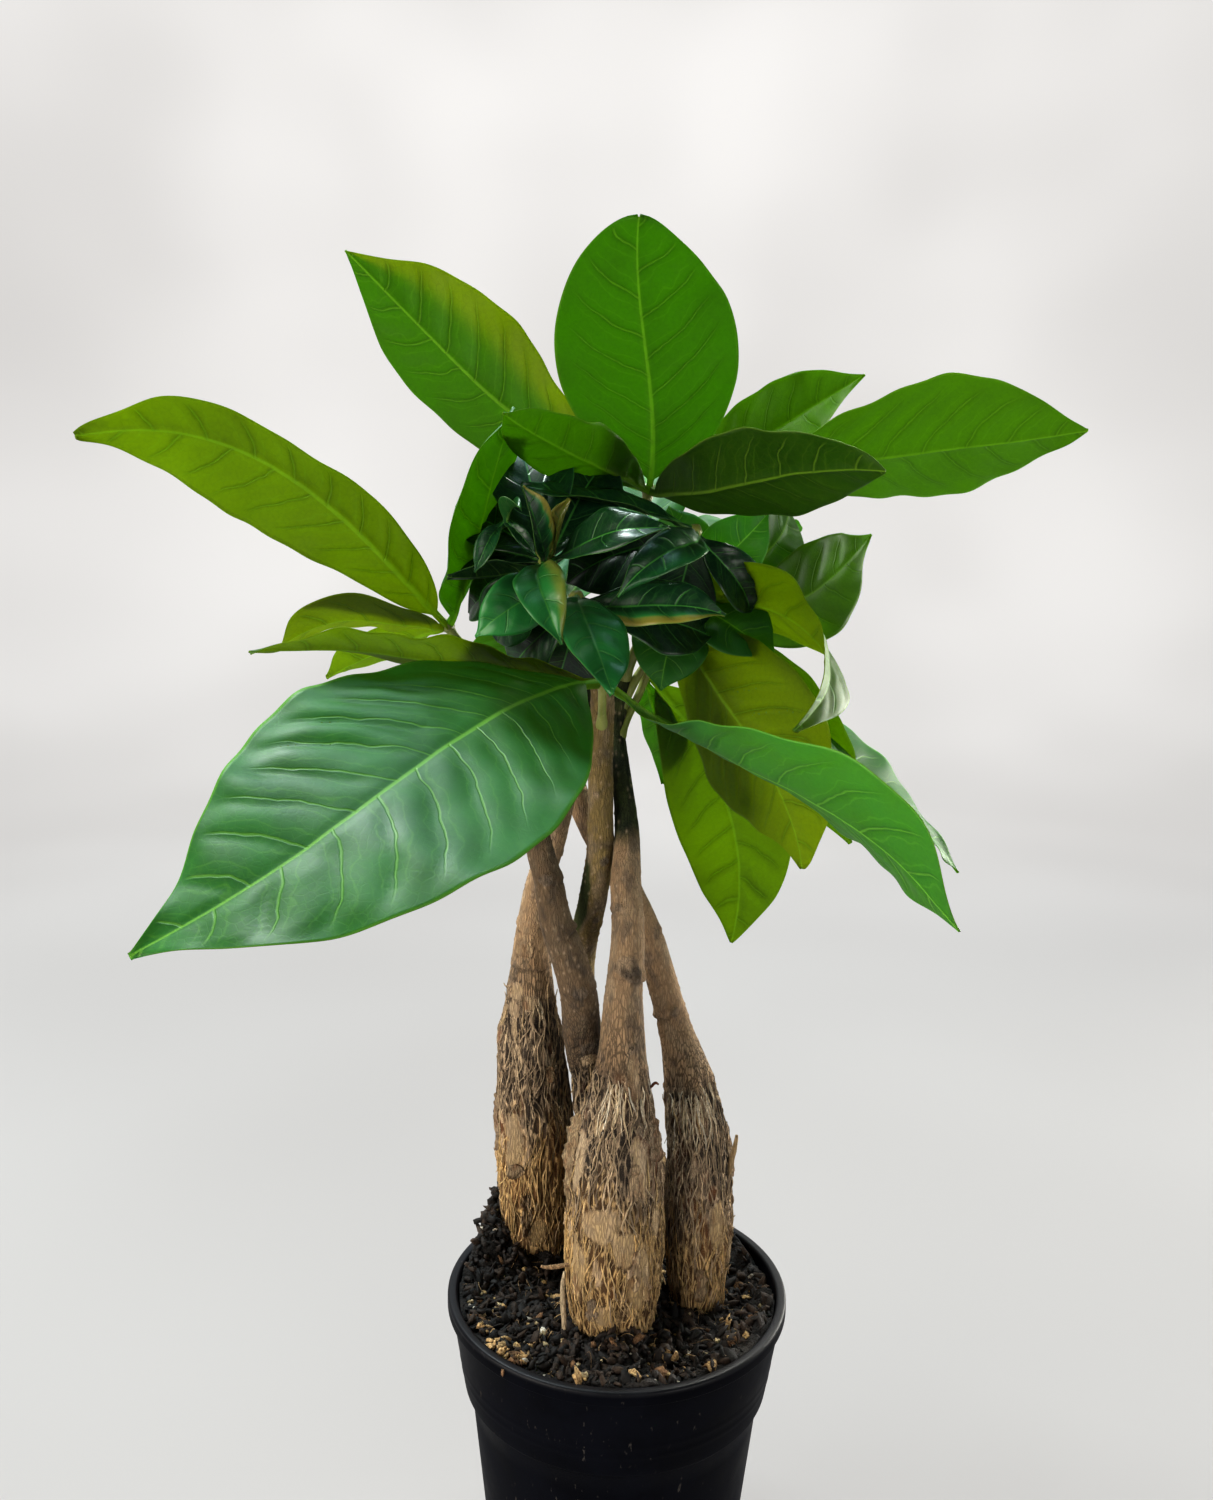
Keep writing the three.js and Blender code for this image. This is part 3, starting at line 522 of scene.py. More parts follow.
class Shape:
    """The points, faces and point layers of one piece, gathered from closed parts."""

    def __init__(self, **layers):
        self.widths = layers  # name of a layer: how many numbers each point has in it
        self.layers = {name: [] for name in layers}
        self.points = []
        self.faces = {3: [], 4: []}
        self.slots = {3: [], 4: []}
        self.count = 0

    def add(self, points, faces, slot=0, **layers):
        """Adds a closed part. faces are arrays of corners, each with its slot or None."""
        points = points.reshape(-1, 3)
        inside_out = volume(points, [corners for corners, _ in faces]) < 0
        for corners, own_slot in faces:
            corners = corners[:, ::-1] if inside_out else corners
            size = corners.shape[1]
            self.faces[size].append(corners + self.count)
            own_slot = slot if own_slot is None else own_slot
            self.slots[size].append(np.full(len(corners), own_slot))
        for name, width in self.widths.items():
            value = np.asarray(layers.get(name, np.zeros(width)), float).reshape(-1, width)
            self.layers[name].append(np.broadcast_to(value, (len(points), width)))
        self.points.append(points)
        self.count += len(points)

    def piece(self, name, materials, slot, replaced=(), sharp=None):
        """The finished object, riding on the part's one body."""
        mesh = bpy.data.meshes.new(name)
        points = np.vstack(self.points) * MM
        mesh.vertices.add(len(points))
        mesh.vertices.foreach_set("co", points.astype(np.float32).ravel())
        groups = [(size, np.vstack(f)) for size, f in self.faces.items() if f]
        corners = np.concatenate([f.ravel() for _, f in groups])
        sizes = np.concatenate([np.full(len(f), size) for size, f in groups])
        slots = np.concatenate([np.concatenate(self.slots[size]) for size, _ in groups])
        mesh.loops.add(len(corners))
        mesh.loops.foreach_set("vertex_index", corners.astype(np.int32))
        mesh.polygons.add(len(sizes))
        starts = np.concatenate([[0], np.cumsum(sizes)[:-1]])
        mesh.polygons.foreach_set("loop_start", starts.astype(np.int32))
        mesh.polygons.foreach_set("material_index", slots.astype(np.int32))
        mesh.update(calc_edges=True)
        for layer, width in self.widths.items():
            values = np.vstack(self.layers[layer])
            if width == 2:
                uv = mesh.uv_layers.new(name=layer)
                uv.data.foreach_set("uv", values[corners].astype(np.float32).ravel())
            elif width == 3:
                attribute = mesh.color_attributes.new(layer, "FLOAT_COLOR", "POINT")
                rgba = np.hstack([values, np.ones((len(values), 1))])
                attribute.data.foreach_set("color", rgba.astype(np.float32).ravel())
            else:
                attribute = mesh.attributes.new(layer, "FLOAT", "POINT")
                attribute.data.foreach_set("value", values.astype(np.float32).ravel())
        mesh.validate()
        mesh.shade_smooth()
        if sharp is not None:
            mesh.set_sharp_from_angle(angle=math.radians(sharp))
        for material in materials:
            mesh.materials.append(material)
        piece = new_object(name, mesh)
        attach(piece, "root")
        for node in replaced:
            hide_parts(node)
        return piece


def new_object(name, data):
    made = bpy.data.objects.new(name, data)
    bpy.context.scene.collection.objects.link(made)
    return made


def volume(points, faces):
    """Six times the volume inside closed faces. It is negative if they face inwards."""
    total = 0.0
    for corners in faces:
        first = points[corners[:, 0]]
        for i in range(1, corners.shape[1] - 1):
            second, third = points[corners[:, i]], points[corners[:, i + 1]]
            total += np.einsum("ij,ij->", first, np.cross(second, third))
    return total


def grid_faces(rows, columns, wrap=False, start=0):
    """Four-sided faces between the points of a grid, whose columns may close on themselves."""
    i, j = np.meshgrid(np.arange(rows - 1), np.arange(columns - (not wrap)), indexing="ij")
    here, along = i.ravel() * columns, (i.ravel() + 1) * columns
    j, beside = j.ravel(), (j.ravel() + 1) % columns
    return start + np.stack([here + j, here + beside, along + beside, along + j], axis=1)


def two_sided(top, under):
    """The points of a closed sheet between two grids of points, and the faces of its top, of
    its underside and of its rim."""
    rows, columns, _ = top.shape
    count = rows * columns
    faces = grid_faces(rows, columns)
    index = np.arange(count).reshape(rows, columns)
    border = np.concatenate([index[0, :-1], index[:-1, -1], index[-1, :0:-1], index[:0:-1, 0]])
    onward = np.roll(border, -1)
    rim = np.stack([border, border + count, onward + count, onward], axis=1)
    points = np.vstack([top.reshape(-1, 3), under.reshape(-1, 3)])
    return points, faces, faces[:, ::-1] + count, rim


def tube(rings):
    """Points and faces of a closed tube through rings of points, shaped (rows, sides, 3)."""
    rows, sides, _ = rings.shape
    ends = rings[[0, -1]].mean(axis=1)
    points = np.vstack([rings.reshape(-1, 3), ends])
    j = np.arange(sides)
    beside, last = (j + 1) % sides, (rows - 1) * sides
    foot = np.stack([np.full(sides, rows * sides), beside, j], axis=1)
    head = np.stack([np.full(sides, rows * sides + 1), last + j, last + beside], axis=1)
    return points, [(grid_faces(rows, sides, True), None), (foot, None), (head, None)]


def rings_along(line, radii, sides):
    """Round rings along a line of points. radii is one number for each ring."""
    across, depth, _ = around(line)
    angle = full_turn(sides)
    cos, sin = np.cos(angle)[None, :, None], np.sin(angle)[None, :, None]
    radii = np.asarray(radii, float)[:, None, None]
    return line[:, None] + radii * (across[:, None] * cos + depth[:, None] * sin)


def ball(centre, radii, seed=0, rough=0.0, rings=10, sides=14):
    """A closed lump: a ball with its own radii, made uneven by rough."""
    polar = np.linspace(0, np.pi, rings + 2)[1:-1, None]
    angle = full_turn(sides)[None]
    way = np.stack([np.sin(polar) * np.cos(angle), np.sin(polar) * np.sin(angle),
                    np.cos(polar) + 0 * angle], axis=-1)
    points, faces = tube(way)
    points[-2:] = [[0, 0, 1], [0, 0, -1]]
    swell = 1 + rough * noise(points * 2.2 + 31.7 * seed, seed)
    return np.asarray(centre) + points * np.asarray(radii) * swell[:, None], faces


# ------------------------------------------------------------------ materials

class Graph:
    """Short names for the nodes of one material."""

    def __init__(self, tree):
        self.tree = tree

    def node(self, kind, inputs=(), **settings):
        made = self.tree.nodes.new("ShaderNode" + kind)
        for name, value in settings.items():
            setattr(made, name, value)
        for key, value in dict(inputs).items():
            if isinstance(value, bpy.types.NodeSocket):
                self.tree.links.new(value, made.inputs[key])
            elif isinstance(value, tuple) and len(value) == 3 and made.inputs[key].type == "RGBA":
                made.inputs[key].default_value = (*value, 1)
            else:
                made.inputs[key].default_value = value
        return made

    def math(self, operation, a, b=0.0, clamp=False):
        return self.node("Math", {0: a, 1: b}, operation=operation, use_clamp=clamp).outputs[0]

    def add(self, a, b, clamp=False):
        return self.math("ADD", a, b, clamp)

    def times(self, a, b):
        return self.math("MULTIPLY", a, b)

    def step(self, value, low, high, start=0.0, end=1.0):
        """start where value is low, end where it is high, and smooth between."""
        made = self.node("MapRange", {"Value": value, "From Min": low, "From Max": high,
                                      "To Min": start, "To Max": end},
                         interpolation_type="SMOOTHSTEP")
        return made.outputs[0]

    def mix(self, share, a, b, blend_type="MIX"):
        made = self.node("Mix", {0: share, 6: a, 7: b}, data_type="RGBA", blend_type=blend_type)
        return made.outputs[2]

    def place(self, stretch=(1, 1, 1), kind="Object"):
        """Coordinates in metres, stretched."""
        where = self.node("TexCoord").outputs[kind]
        return self.node("Mapping", {"Vector": where, "Scale": stretch}).outputs[0]

    def noise(self, vector, scale, detail=3.0, rough=0.5, bend=0.0):
        made = self.node("TexNoise", {"Vector": vector, "Scale": scale, "Detail": detail,
                                      "Roughness": rough, "Distortion": bend})
        return made.outputs[0]

    def cells(self, vector, scale, feature="F1", output="Distance"):
        made = self.node("TexVoronoi", {"Vector": vector, "Scale": scale}, feature=feature)
        return made.outputs[output]

    def warped(self, vector, scale, amount):
        """Coordinates pushed about by noise, by up to half of amount."""
        push = self.node("TexNoise", {"Vector": vector, "Scale": scale, "Detail": 2.0})
        push = self.node("VectorMath", {0: push.outputs["Color"], 1: (0.5, 0.5, 0.5)},
                         operation="SUBTRACT").outputs[0]
        push = self.node("VectorMath", {0: push, "Scale": amount}, operation="SCALE").outputs[0]
        return self.node("VectorMath", {0: vector, 1: push}, operation="ADD").outputs[0]

    def colour(self, layer):
        return self.node("VertexColor", layer_name=layer).outputs[0]

    def value(self, layer):
        return self.node("Attribute", attribute_name=layer).outputs["Fac"]

    def uv(self, layer):
        return self.node("UVMap", uv_map=layer).outputs[0]

    def split(self, vector):
        return self.node("SeparateXYZ", {0: vector}).outputs

    def bump(self, height, strength, distance):
        inputs = {"Height": height, "Strength": strength, "Distance": distance * MM}
        return self.node("Bump", inputs).outputs[0]

    def surface(self, colour, rough, normal, more=()):
        inputs = {"Base Color": colour, "Roughness": rough, "Normal": normal, **dict(more)}
        return self.node("BsdfPrincipled", inputs).outputs[0]


def new_material(name, build):
    material = bpy.data.materials.new(name)
    material.use_nodes = True
    tree = material.node_tree
    tree.nodes.clear()
    output = tree.nodes.new("ShaderNodeOutputMaterial")
    tree.links.new(build(Graph(tree)), output.inputs["Surface"])
    return material


def leaf_material(name, deep, fresh, vein, through, share, gloss, level, relief):
    """One side of a leaf, as LEAF_SIDES describes it."""

    def build(g):
        veins, flat = g.split(g.uv("veins")), g.uv("blade")
        yellow, dark = g.value("yellow"), g.value("dark")
        away = g.math("ABSOLUTE", veins[0])
        right = g.math("GREATER_THAN", veins[0], 0.0)
        phase = g.add(veins[1], g.times(right, 0.5))
        wander = g.noise(flat, 9.0, 2.0)
        phase = g.add(phase, g.times(wander, 0.3))
        near = g.math("PINGPONG", phase, 0.5)
        inside = g.step(away, 0.62, 0.92, 1.0, 0.0)
        lateral = g.times(g.step(near, 0.010, 0.038, 1.0, 0.0), inside)
        # beside: a band along each side vein, where the surface dips; it is darkened as painted
        # shade in that trough.
        beside = g.times(g.step(near, 0.02, 0.13, 1.0, 0.0), inside)
        second = g.math("PINGPONG", g.add(g.times(phase, 2.0), wander), 0.5)
        second = g.times(g.step(second, 0.02, 0.06, 1.0, 0.0), inside)
        rib = g.step(g.math("ABSOLUTE", g.split(g.uv("rib"))[0]), 0.35, 1.1, 1.0, 0.0)
        net = g.step(g.cells(flat, 42.0, "DISTANCE_TO_EDGE"), 0.0, 0.09, 1.0, 0.0)
        mottle = g.noise(flat, 4.0, 4.0, 0.6)
        speck = g.noise(flat, 90.0, 3.0, 0.6)
        dots = g.step(g.cells(flat, 24.0), 0.05, 0.12, 1.0, 0.0)
        edge = g.step(away, 0.965, 0.995)

        fresher = g.step(mottle, 0.3, 0.72)
        base = g.mix(yellow, g.mix(fresher, deep[0], fresh[0]), g.mix(fresher, deep[1], fresh[1]))
        if len(deep) == 3:
            golden = g.step(yellow, 0.6, 1.0)
            base = g.mix(golden, base, g.mix(fresher, deep[2], fresh[2]))
        # Painted shade beside the side veins.
        base = g.mix(g.times(beside, 0.22), base, deep[0])
        for line, share_of_vein in ((net, 0.12), (second, 0.15), (lateral, 0.5), (rib, 0.9),
                                    (edge, 0.6)):
            base = g.mix(g.times(line, share_of_vein), base, vein)

        glow = g.mix(yellow, through[0], through[1])
        dim = g.mix(1.0, glow, (0.55, 0.60, 0.5), "MULTIPLY")
        shade = g.add(g.step(mottle, 0.35, 0.75, 0.0, 0.35),
                      g.times(g.step(speck, 0.35, 0.7), 0.18))
        # Painted shade beside the side veins, in the light that comes through.
        shade = g.add(shade, g.times(beside, 0.35))
        shade = g.add(shade, g.times(net, 0.18), True)
        glow = g.mix(shade, glow, dim)
        bright = g.mix(0.5, glow, (0.55, 0.80, 0.03))
        for line, share_of_bright in ((lateral, 0.5), (second, 0.2), (rib, 0.6)):
            glow = g.mix(g.times(line, share_of_bright), glow, bright)
        glow = g.mix(g.times(dots, 0.25), glow, dim)

        height = g.add(g.times(lateral, -0.8), g.times(net, -0.08))
        height = g.add(height, g.times(speck, 0.08))
        normal = g.bump(height, 1.0, relief)
        rough = g.add(gloss, g.step(mottle, 0.3, 0.7, 0.0, 0.10))
        surface = g.surface(base, rough, normal, {"Specular IOR Level": level})
        lit = g.node("BsdfTranslucent", {"Color": glow, "Normal": normal})
        # dark is painted shade: it lets less light through the leaflet.
        passed = g.times(share, g.math("SUBTRACT", 1.0, dark))
        return g.node("MixShader", {0: passed, 1: surface, 2: lit.outputs[0]}).outputs[0]

    return new_material(name, build)


def stalk_material():
    def build(g):
        place = g.place((1, 1, 0.25))
        streak = g.noise(place, 900.0, 3.0)
        patch = g.noise(g.place(), 60.0, 2.0)
        body = g.mix(g.step(patch, 0.35, 0.65), (0.13, 0.17, 0.030), (0.27, 0.29, 0.08))
        body = g.mix(g.step(streak, 0.45, 0.75, 0.0, 0.5), body, (0.34, 0.34, 0.13))
        normal = g.bump(streak, 0.5, 0.15)
        return g.surface(body, 0.42, normal, {"Subsurface Weight": 0.15,
                                              "Subsurface Radius": (0.6, 1.0, 0.2),
                                              "Subsurface Scale": MM})

    return new_material("leaf stalk", build)


def bark_material():
    """Bark takes its broad colours from the mesh: bark on its strands and gap between them.
    This adds the fine net of strands and cracks, coarse where the mesh says it is wiry."""

    def build(g):
        strand, gap = g.colour("bark"), g.colour("gap")
        wiry = g.value("wiry")
        place = g.warped(g.place((1, 1, 0.2)), 260.0, 0.0022)
        coarse = g.cells(place, 560.0, "DISTANCE_TO_EDGE")
        fine = g.cells(place, 1150.0, "DISTANCE_TO_EDGE")
        wires = g.step(coarse, 0.03, 0.17, 1.0, 0.0)
        cracks = g.step(fine, 0.02, 0.20)
        dust = g.noise(g.place(), 2400.0, 3.0, 0.7)
        streak = g.noise(g.place((1, 1, 0.12)), 700.0, 4.0, 0.6, 0.5)
        wires = g.times(wires, g.step(streak, 0.36, 0.62, 0.25, 1.0))
        cracks = g.times(cracks, g.step(streak, 0.3, 0.7, 0.55, 1.0))
        net = g.add(g.times(wires, wiry), g.times(cracks, g.math("SUBTRACT", 1.0, wiry)))
        net = g.add(net, g.step(dust, 0.35, 0.75, -0.16, 0.22), True)
        # Between the strands of the net the gap colour shows, darker: partly painted shade in the
        # recesses.
        body = g.mix(net, gap, strand)
        body = g.mix(g.step(dust, 0.64, 0.76, 0.0, 0.35), body, (0.03, 0.022, 0.016))
        height = g.add(net, g.times(dust, 0.4))
        normal = g.bump(height, 0.9, 0.45)
        return g.surface(body, 0.88, normal, {"Specular IOR Level": 0.3})

    return new_material("bark", build)


def soil_material():
    def build(g):
        crumbs = g.cells(g.place(), 900.0)
        fine = g.noise(g.place(), 1800.0, 4.0, 0.7)
        damp = g.noise(g.place(), 90.0, 3.0)
        body = g.mix(g.step(fine, 0.4, 0.8), (0.0030, 0.0024, 0.0020), (0.022, 0.015, 0.010))
        body = g.mix(g.step(damp, 0.5, 0.7, 0.0, 0.35), body, (0.04, 0.026, 0.017))
        body = g.mix(1.0, body, g.colour("tone"), "MULTIPLY")
        height = g.math("SUBTRACT", fine, g.times(crumbs, 0.8))
        normal = g.bump(height, 1.0, 0.7)
        rough = g.step(damp, 0.35, 0.65, 0.95, 0.6)
        return g.surface(body, rough, normal)

    return new_material("peat", build)


def grain_material(name, rough, fine_scale):
    """Loose grains and chips: their own colour from the mesh, mottled."""

    def build(g):
        painted = g.colour("tone")
        fine = g.noise(g.place(), fine_scale, 4.0, 0.65)
        dark = g.mix(1.0, painted, (0.35, 0.28, 0.22), "MULTIPLY")
        body = g.mix(g.step(fine, 0.35, 0.65), dark, painted)
        normal = g.bump(fine, 0.8, 0.35)
        return g.surface(body, rough, normal)

    return new_material(name, build)


def pot_material():
    def build(g):
        grain = g.noise(g.place(), 1400.0, 3.0, 0.6)
        cloud = g.noise(g.place(), 45.0, 4.0, 0.6)
        drips = g.noise(g.place((1, 1, 0.12)), 260.0, 3.0, 0.6, 0.6)
        dust = g.noise(g.place((1, 1, 0.35)), 620.0, 2.0, 0.7)
        rubbed = g.times(g.step(dust, 0.64, 0.74), g.step(drips, 0.48, 0.62))
        body = g.mix(g.step(cloud, 0.35, 0.7), (0.0015, 0.0017, 0.0036), (0.0035, 0.0040, 0.0075))
        body = g.mix(g.times(rubbed, 0.55), body, (0.10, 0.09, 0.08))
        rough = g.step(cloud, 0.3, 0.7, 0.42, 0.56)
        rough = g.add(rough, g.times(rubbed, 0.3))
        height = g.add(grain, g.times(drips, 0.5))
        normal = g.bump(height, 0.22, 0.12)
        upright = g.split(g.place())[2]
        rim = POT["height"] * MM
        worn = g.step(upright, rim - 2.0 * MM, rim - 0.2 * MM, 0.03, 0.28)
        return g.surface(body, rough, normal, {"Specular IOR Level": worn})

    return new_material("pot plastic", build)


def plain_material(name, colour, rough, glow):
    """Matt paint that glows a little, as if light fell on it from all sides."""

    def build(g):
        cloud = g.noise(g.place(), 1.2, 2.0)
        body = g.mix(g.step(cloud, 0.3, 0.7, 0.0, 0.04), colour, (1.0, 1.0, 1.0))
        return g.node("BsdfPrincipled", {"Base Color": body, "Roughness": rough,
                                         "Emission Color": (1.0, 0.98, 0.96),
                                         "Emission Strength": glow}).outputs[0]

    return new_material(name, build)


# ------------------------------------------------------------------ pot

def inner_radius(z):
    """The pot's inner radius at height z, from its floor to its lip."""
    shoulder = POT["height"] - POT["collar_drop"] - POT["step"]
    collar = POT["height"] - POT["collar_drop"]
    heights = [POT["floor"], shoulder, collar, POT["height"]]
    radii = [POT["foot"] - POT["wall"], POT["shoulder"] - POT["wall"],
             POT["collar"] - POT["wall"], POT["rim"] - POT["lip_depth"]]
    return np.interp(z, heights, radii)


def arc(centre, radius, start, end, steps=6):
    """Points of an arc in the pot's profile, between two angles in degrees."""
    angle = np.radians(np.linspace(start, end, steps))
    return [(centre[0] + radius * math.cos(a), centre[1] + radius * math.sin(a)) for a in angle]


def pot_profile():
    """The pot's section as radius and height, from the middle of its underside round its
    lip to the middle of its floor."""
    height, rim, collar = POT["height"], POT["rim"], POT["collar"]
    shoulder_z, collar_z = height - POT["collar_drop"] - POT["step"], height - POT["collar_drop"]
    groove = (POT["pad"] + POT["groove"], POT["foot"] - POT["foot_width"])
    under = [(0, 0), (POT["pad"], 0), (groove[0], POT["groove"]),
             (groove[1] - POT["groove"], POT["groove"]), (groove[1], 0)]
    foot = arc((POT["foot"] - POT["foot_edge"], POT["foot_edge"]), POT["foot_edge"], -90, 0)
    body = [(lerp(POT["foot"], POT["shoulder"], s),
             lerp(POT["foot_edge"], shoulder_z, s)) for s in np.linspace(0.1, 1, 10)]
    step = [(POT["shoulder"] + 0.4, shoulder_z + 0.4), (collar - 1.5, collar_z - 1.4)]
    soft = POT["round_step"]
    step += arc((collar - soft, collar_z + 0.3), soft, -50, 0, 4)
    side = []
    lip_z = height - POT["lip"]
    for s in np.linspace(0.04, 0.9, 30):
        z = lerp(collar_z, lip_z - 1, s)
        line = sum(POT["line_height"] * math.exp(-(((z - at) / POT["line_width"]) ** 2))
                   for at in POT["lines"])
        side.append((lerp(collar, rim - POT["lip_back"], s) + line, z))
    lip = [(rim - POT["lip_back"], lip_z - 1.0), (rim - 0.9, lip_z - 0.6)]
    soft = POT["round_under"]
    lip += arc((rim - soft, lip_z + 0.2), soft, -70, 0, 4)
    soft = POT["round_out"]
    lip += arc((rim - soft, height - 1.2), soft, 0, 90)
    soft = POT["round_in"]
    lip += arc((rim - POT["lip_depth"] + soft, height - 1.0), soft, 90, 180)
    inside = [(inner_radius(z), z) for z in np.linspace(height - 2, POT["floor"] + 2, 18)]
    soft = POT["round_floor"]
    inside += arc((inner_radius(POT["floor"]) - soft, POT["floor"] + soft), soft, 0, -90, 5)
    return [*under, *foot, *body, *step, *side, *lip, *inside, (0, POT["floor"])]


def make_pot():
    profile = np.array(pot_profile())[1:-1]
    angle = full_turn(POT["segments"])
    radius, z = profile[:, 0, None], profile[:, 1, None]
    points, faces = tube(np.stack([radius * np.cos(angle), radius * np.sin(angle),
                                   z + 0 * angle], axis=-1))
    shape = Shape()
    shape.add(points, faces)
    pot = shape.piece("nursery_pot", [pot_material()], "pot", ["pot"], sharp=50)
    cutter = new_object("drains", drain_mesh())
    cut = pot.modifiers.new("drains", "BOOLEAN")
    cut.operation, cut.solver, cut.object = "DIFFERENCE", "EXACT", cutter
    depsgraph = bpy.context.evaluated_depsgraph_get()
    drained = bpy.data.meshes.new_from_object(pot.evaluated_get(depsgraph))
    pot.modifiers.clear()
    pot.data = drained
    drained.name = "nursery_pot"
    drained.set_sharp_from_angle(angle=math.radians(50))
    bpy.data.objects.remove(cutter)
    return pot


def drain_mesh():
    """The drain holes, as one mesh of upright rods through the pot's floor."""
    shape = Shape()
    for i in range(POT["drains"]):
        angle = 2 * math.pi * i / POT["drains"]
        x, y = (POT["drain_circle"] * f(angle) for f in (math.cos, math.sin))
        line = np.array([(x, y, z) for z in np.linspace(-4, POT["floor"] + 4, 3)])
        shape.add(*tube(rings_along(line, [POT["drain_radius"]] * 3, 32)))
    mesh = bpy.data.meshes.new("drains")
    quads, fans = np.vstack(shape.faces[4]), np.vstack(shape.faces[3])
    points = np.vstack(shape.points) * MM
    mesh.from_pydata(points.tolist(), [], quads.tolist() + fans.tolist())
    return mesh


# ------------------------------------------------------------------ soil

def soil_height(x, y):
    """Height of the soil's surface: broad swells, small lumps and heaps."""
    swell = np.sin(x / 13 + 1) * np.cos(y / 11 - 0.6)
    lump = np.sin(x / 2.9 + 2 * np.sin(y / 5)) * np.sin(y / 2.6 + 1.5 * np.sin(x / 4))
    raised = sum(h * np.exp(-((x - cx) ** 2 + (y - cy) ** 2) / spread ** 2)
                 for cx, cy, h, spread in HEAPS)
    return SOIL["level"] + SOIL["swell"] * swell + SOIL["lump"] * lump + raised


def make_soil():
    """Peat that fills the pot up to its crumbly surface."""
    angle = full_turn(SOIL["segments"])
    cos, sin = np.cos(angle), np.sin(angle)
    wall = inner_radius(POT["height"]) - GAP
    rings = []
    floor = POT["floor"] + GAP
    collar = POT["height"] - POT["collar_drop"]
    for z, share in ((floor, 0.5), (floor, 1), (collar - POT["step"], 1), (collar, 1)):
        radius = share * (inner_radius(z) - GAP)
        rings.append(np.stack([radius * cos, radius * sin, z + 0 * cos], axis=1))
    for share in np.linspace(1, 0.02, SOIL["rings"]):
        x, y = share * wall * cos, share * wall * sin
        z = soil_height(x, y)
        near = np.stack([x, y, z], axis=1)
        crumb = 1.1 * fractal(near / 3.4, 3, 5) + 0.9 * ridged(near / 2.6, 2, 11) - 0.4
        crumb = crumb * (1 + 0.9 * heaped(x, y))
        z = z + crumb * (0.35 if share == 1 else 1) + rim_rise(x, y)
        radius = share * (inner_radius(np.minimum(z, POT["height"])) - GAP)
        rings.append(np.stack([radius * cos, radius * sin, z], axis=1))
    points, faces = tube(np.array(rings))
    shape = Shape(tone=3)
    tone = 1 + 0.5 * fractal(points / 7, 2, 3)
    shape.add(points, faces, tone=tone[:, None] * np.ones(3))
    return shape.piece("potting_soil", [soil_material()], "soil", ["soil"])


def heaped(x, y):
    """1 at the top of the big heap, and near 0 away from it."""
    cx, cy, _, spread = HEAPS[0]
    return bump(np.hypot(x - cx, y - cy), 1.3 * spread)


def rim_rise(x, y):
    """How far the soil is heaped up against the pot's wall."""
    share = np.hypot(x, y) / (inner_radius(POT["height"]) - GAP)
    return SOIL["rise"] * smooth(share, SOIL["rise_from"], SOIL["rise_to"])


def soil_spots(count, seed, lines, margin=0.2):
    """Places spread over the soil's surface, clear of the trunks and the pot's wall."""
    random = np.random.default_rng(seed)
    wall = inner_radius(POT["height"]) - SOIL["clear"]
    spots = []
    while len(spots) < count:
        angle, radius = random.uniform(0, 2 * np.pi), wall * math.sqrt(random.uniform())
        x, y = radius * math.cos(angle), radius * math.sin(angle)
        z = float(soil_height(x, y))
        if all(math.hypot(x - cx, y - cy) > r + margin
               for cx, cy, r in (trunk_at(line, z) for line in lines.values())):
            spots.append((x, y, z))
    return spots, random


def turned(random):
    """A random turn, as a 3 by 3 matrix."""
    q = unit(random.normal(size=4))
    w, x, y, z = q
    return np.array([
        [1 - 2 * (y * y + z * z), 2 * (x * y - w * z), 2 * (x * z + w * y)],
        [2 * (x * y + w * z), 1 - 2 * (x * x + z * z), 2 * (y * z - w * x)],
        [2 * (x * z - w * y), 2 * (y * z + w * x), 1 - 2 * (x * x + y * y)],
    ])


# Loose pieces in the soil. Each kind: how many, from what to what size, how it is stretched
# or flattened, how far it stands out, its colours, how many rings and sides of points a grain
# has, the seed of its random places, and how rough its surface is.
LITTER = {
    "peat_crumbs": dict(count=2700, size=(0.35, 1.6), form=(2.1, 1.0, 0.6), rise=0.25,
                        tones=[(0.006, 0.005, 0.004), (0.020, 0.013, 0.009), (0.05, 0.030, 0.017)],
                        rings=4, sides=7, seed=11, rough=0.7),
    "bark_chips": dict(count=80, size=(0.6, 1.9), form=(1.9, 1.0, 0.5), rise=0.5,
                       tones=[(0.24, 0.14, 0.07), (0.07, 0.042, 0.025), (0.62, 0.44, 0.22)],
                       rings=6, sides=9, seed=23, rough=0.9),
    "perlite": dict(count=190, size=(0.35, 1.25), form=(1.15, 1.0, 0.85), rise=0.7,
                    tones=[(0.66, 0.56, 0.34), (0.55, 0.40, 0.18), (0.78, 0.75, 0.66)],
                    rings=6, sides=9, seed=37, rough=0.75),
}
# More crumbs, on the big heap: how far they spread as a share of the heap's own spread, their
# size and how far they are lifted.
HEAP_CRUMBS = dict(count=420, scatter=0.6, size=(0.5, 1.7), lift=1.5)
# Clusters of crumbled bark that the photograph shows in the soil: x, y, how far they spread
# and which colour of bark. CLUSTER says the same of each cluster as HEAP_CRUMBS of the heap.
CLUSTER = dict(count=9, scatter=0.45, size=(0.12, 0.34), lift=0.25)
LUMPS = [(-40, -34, 3.4, 2), (-37.5, -41, 3.0, 2), (-35, -44, 3.6, 0), (-31, -41, 3.2, 2),
         (-44, -27, 2.6, 2), (-47, -20, 2.4, 0), (-42, -8, 2.0, 2), (-29, -33, 1.8, 2),
         (14, -47, 3.4, 1), (19, -44, 3.0, 1), (44, -22, 3.2, 1), (47, -14, 2.4, 0),
         (16, -36, 2.4, 2), (38, -30, 2.2, 0), (47, 4, 2.4, 2), (-20, -47, 2.0, 2)]


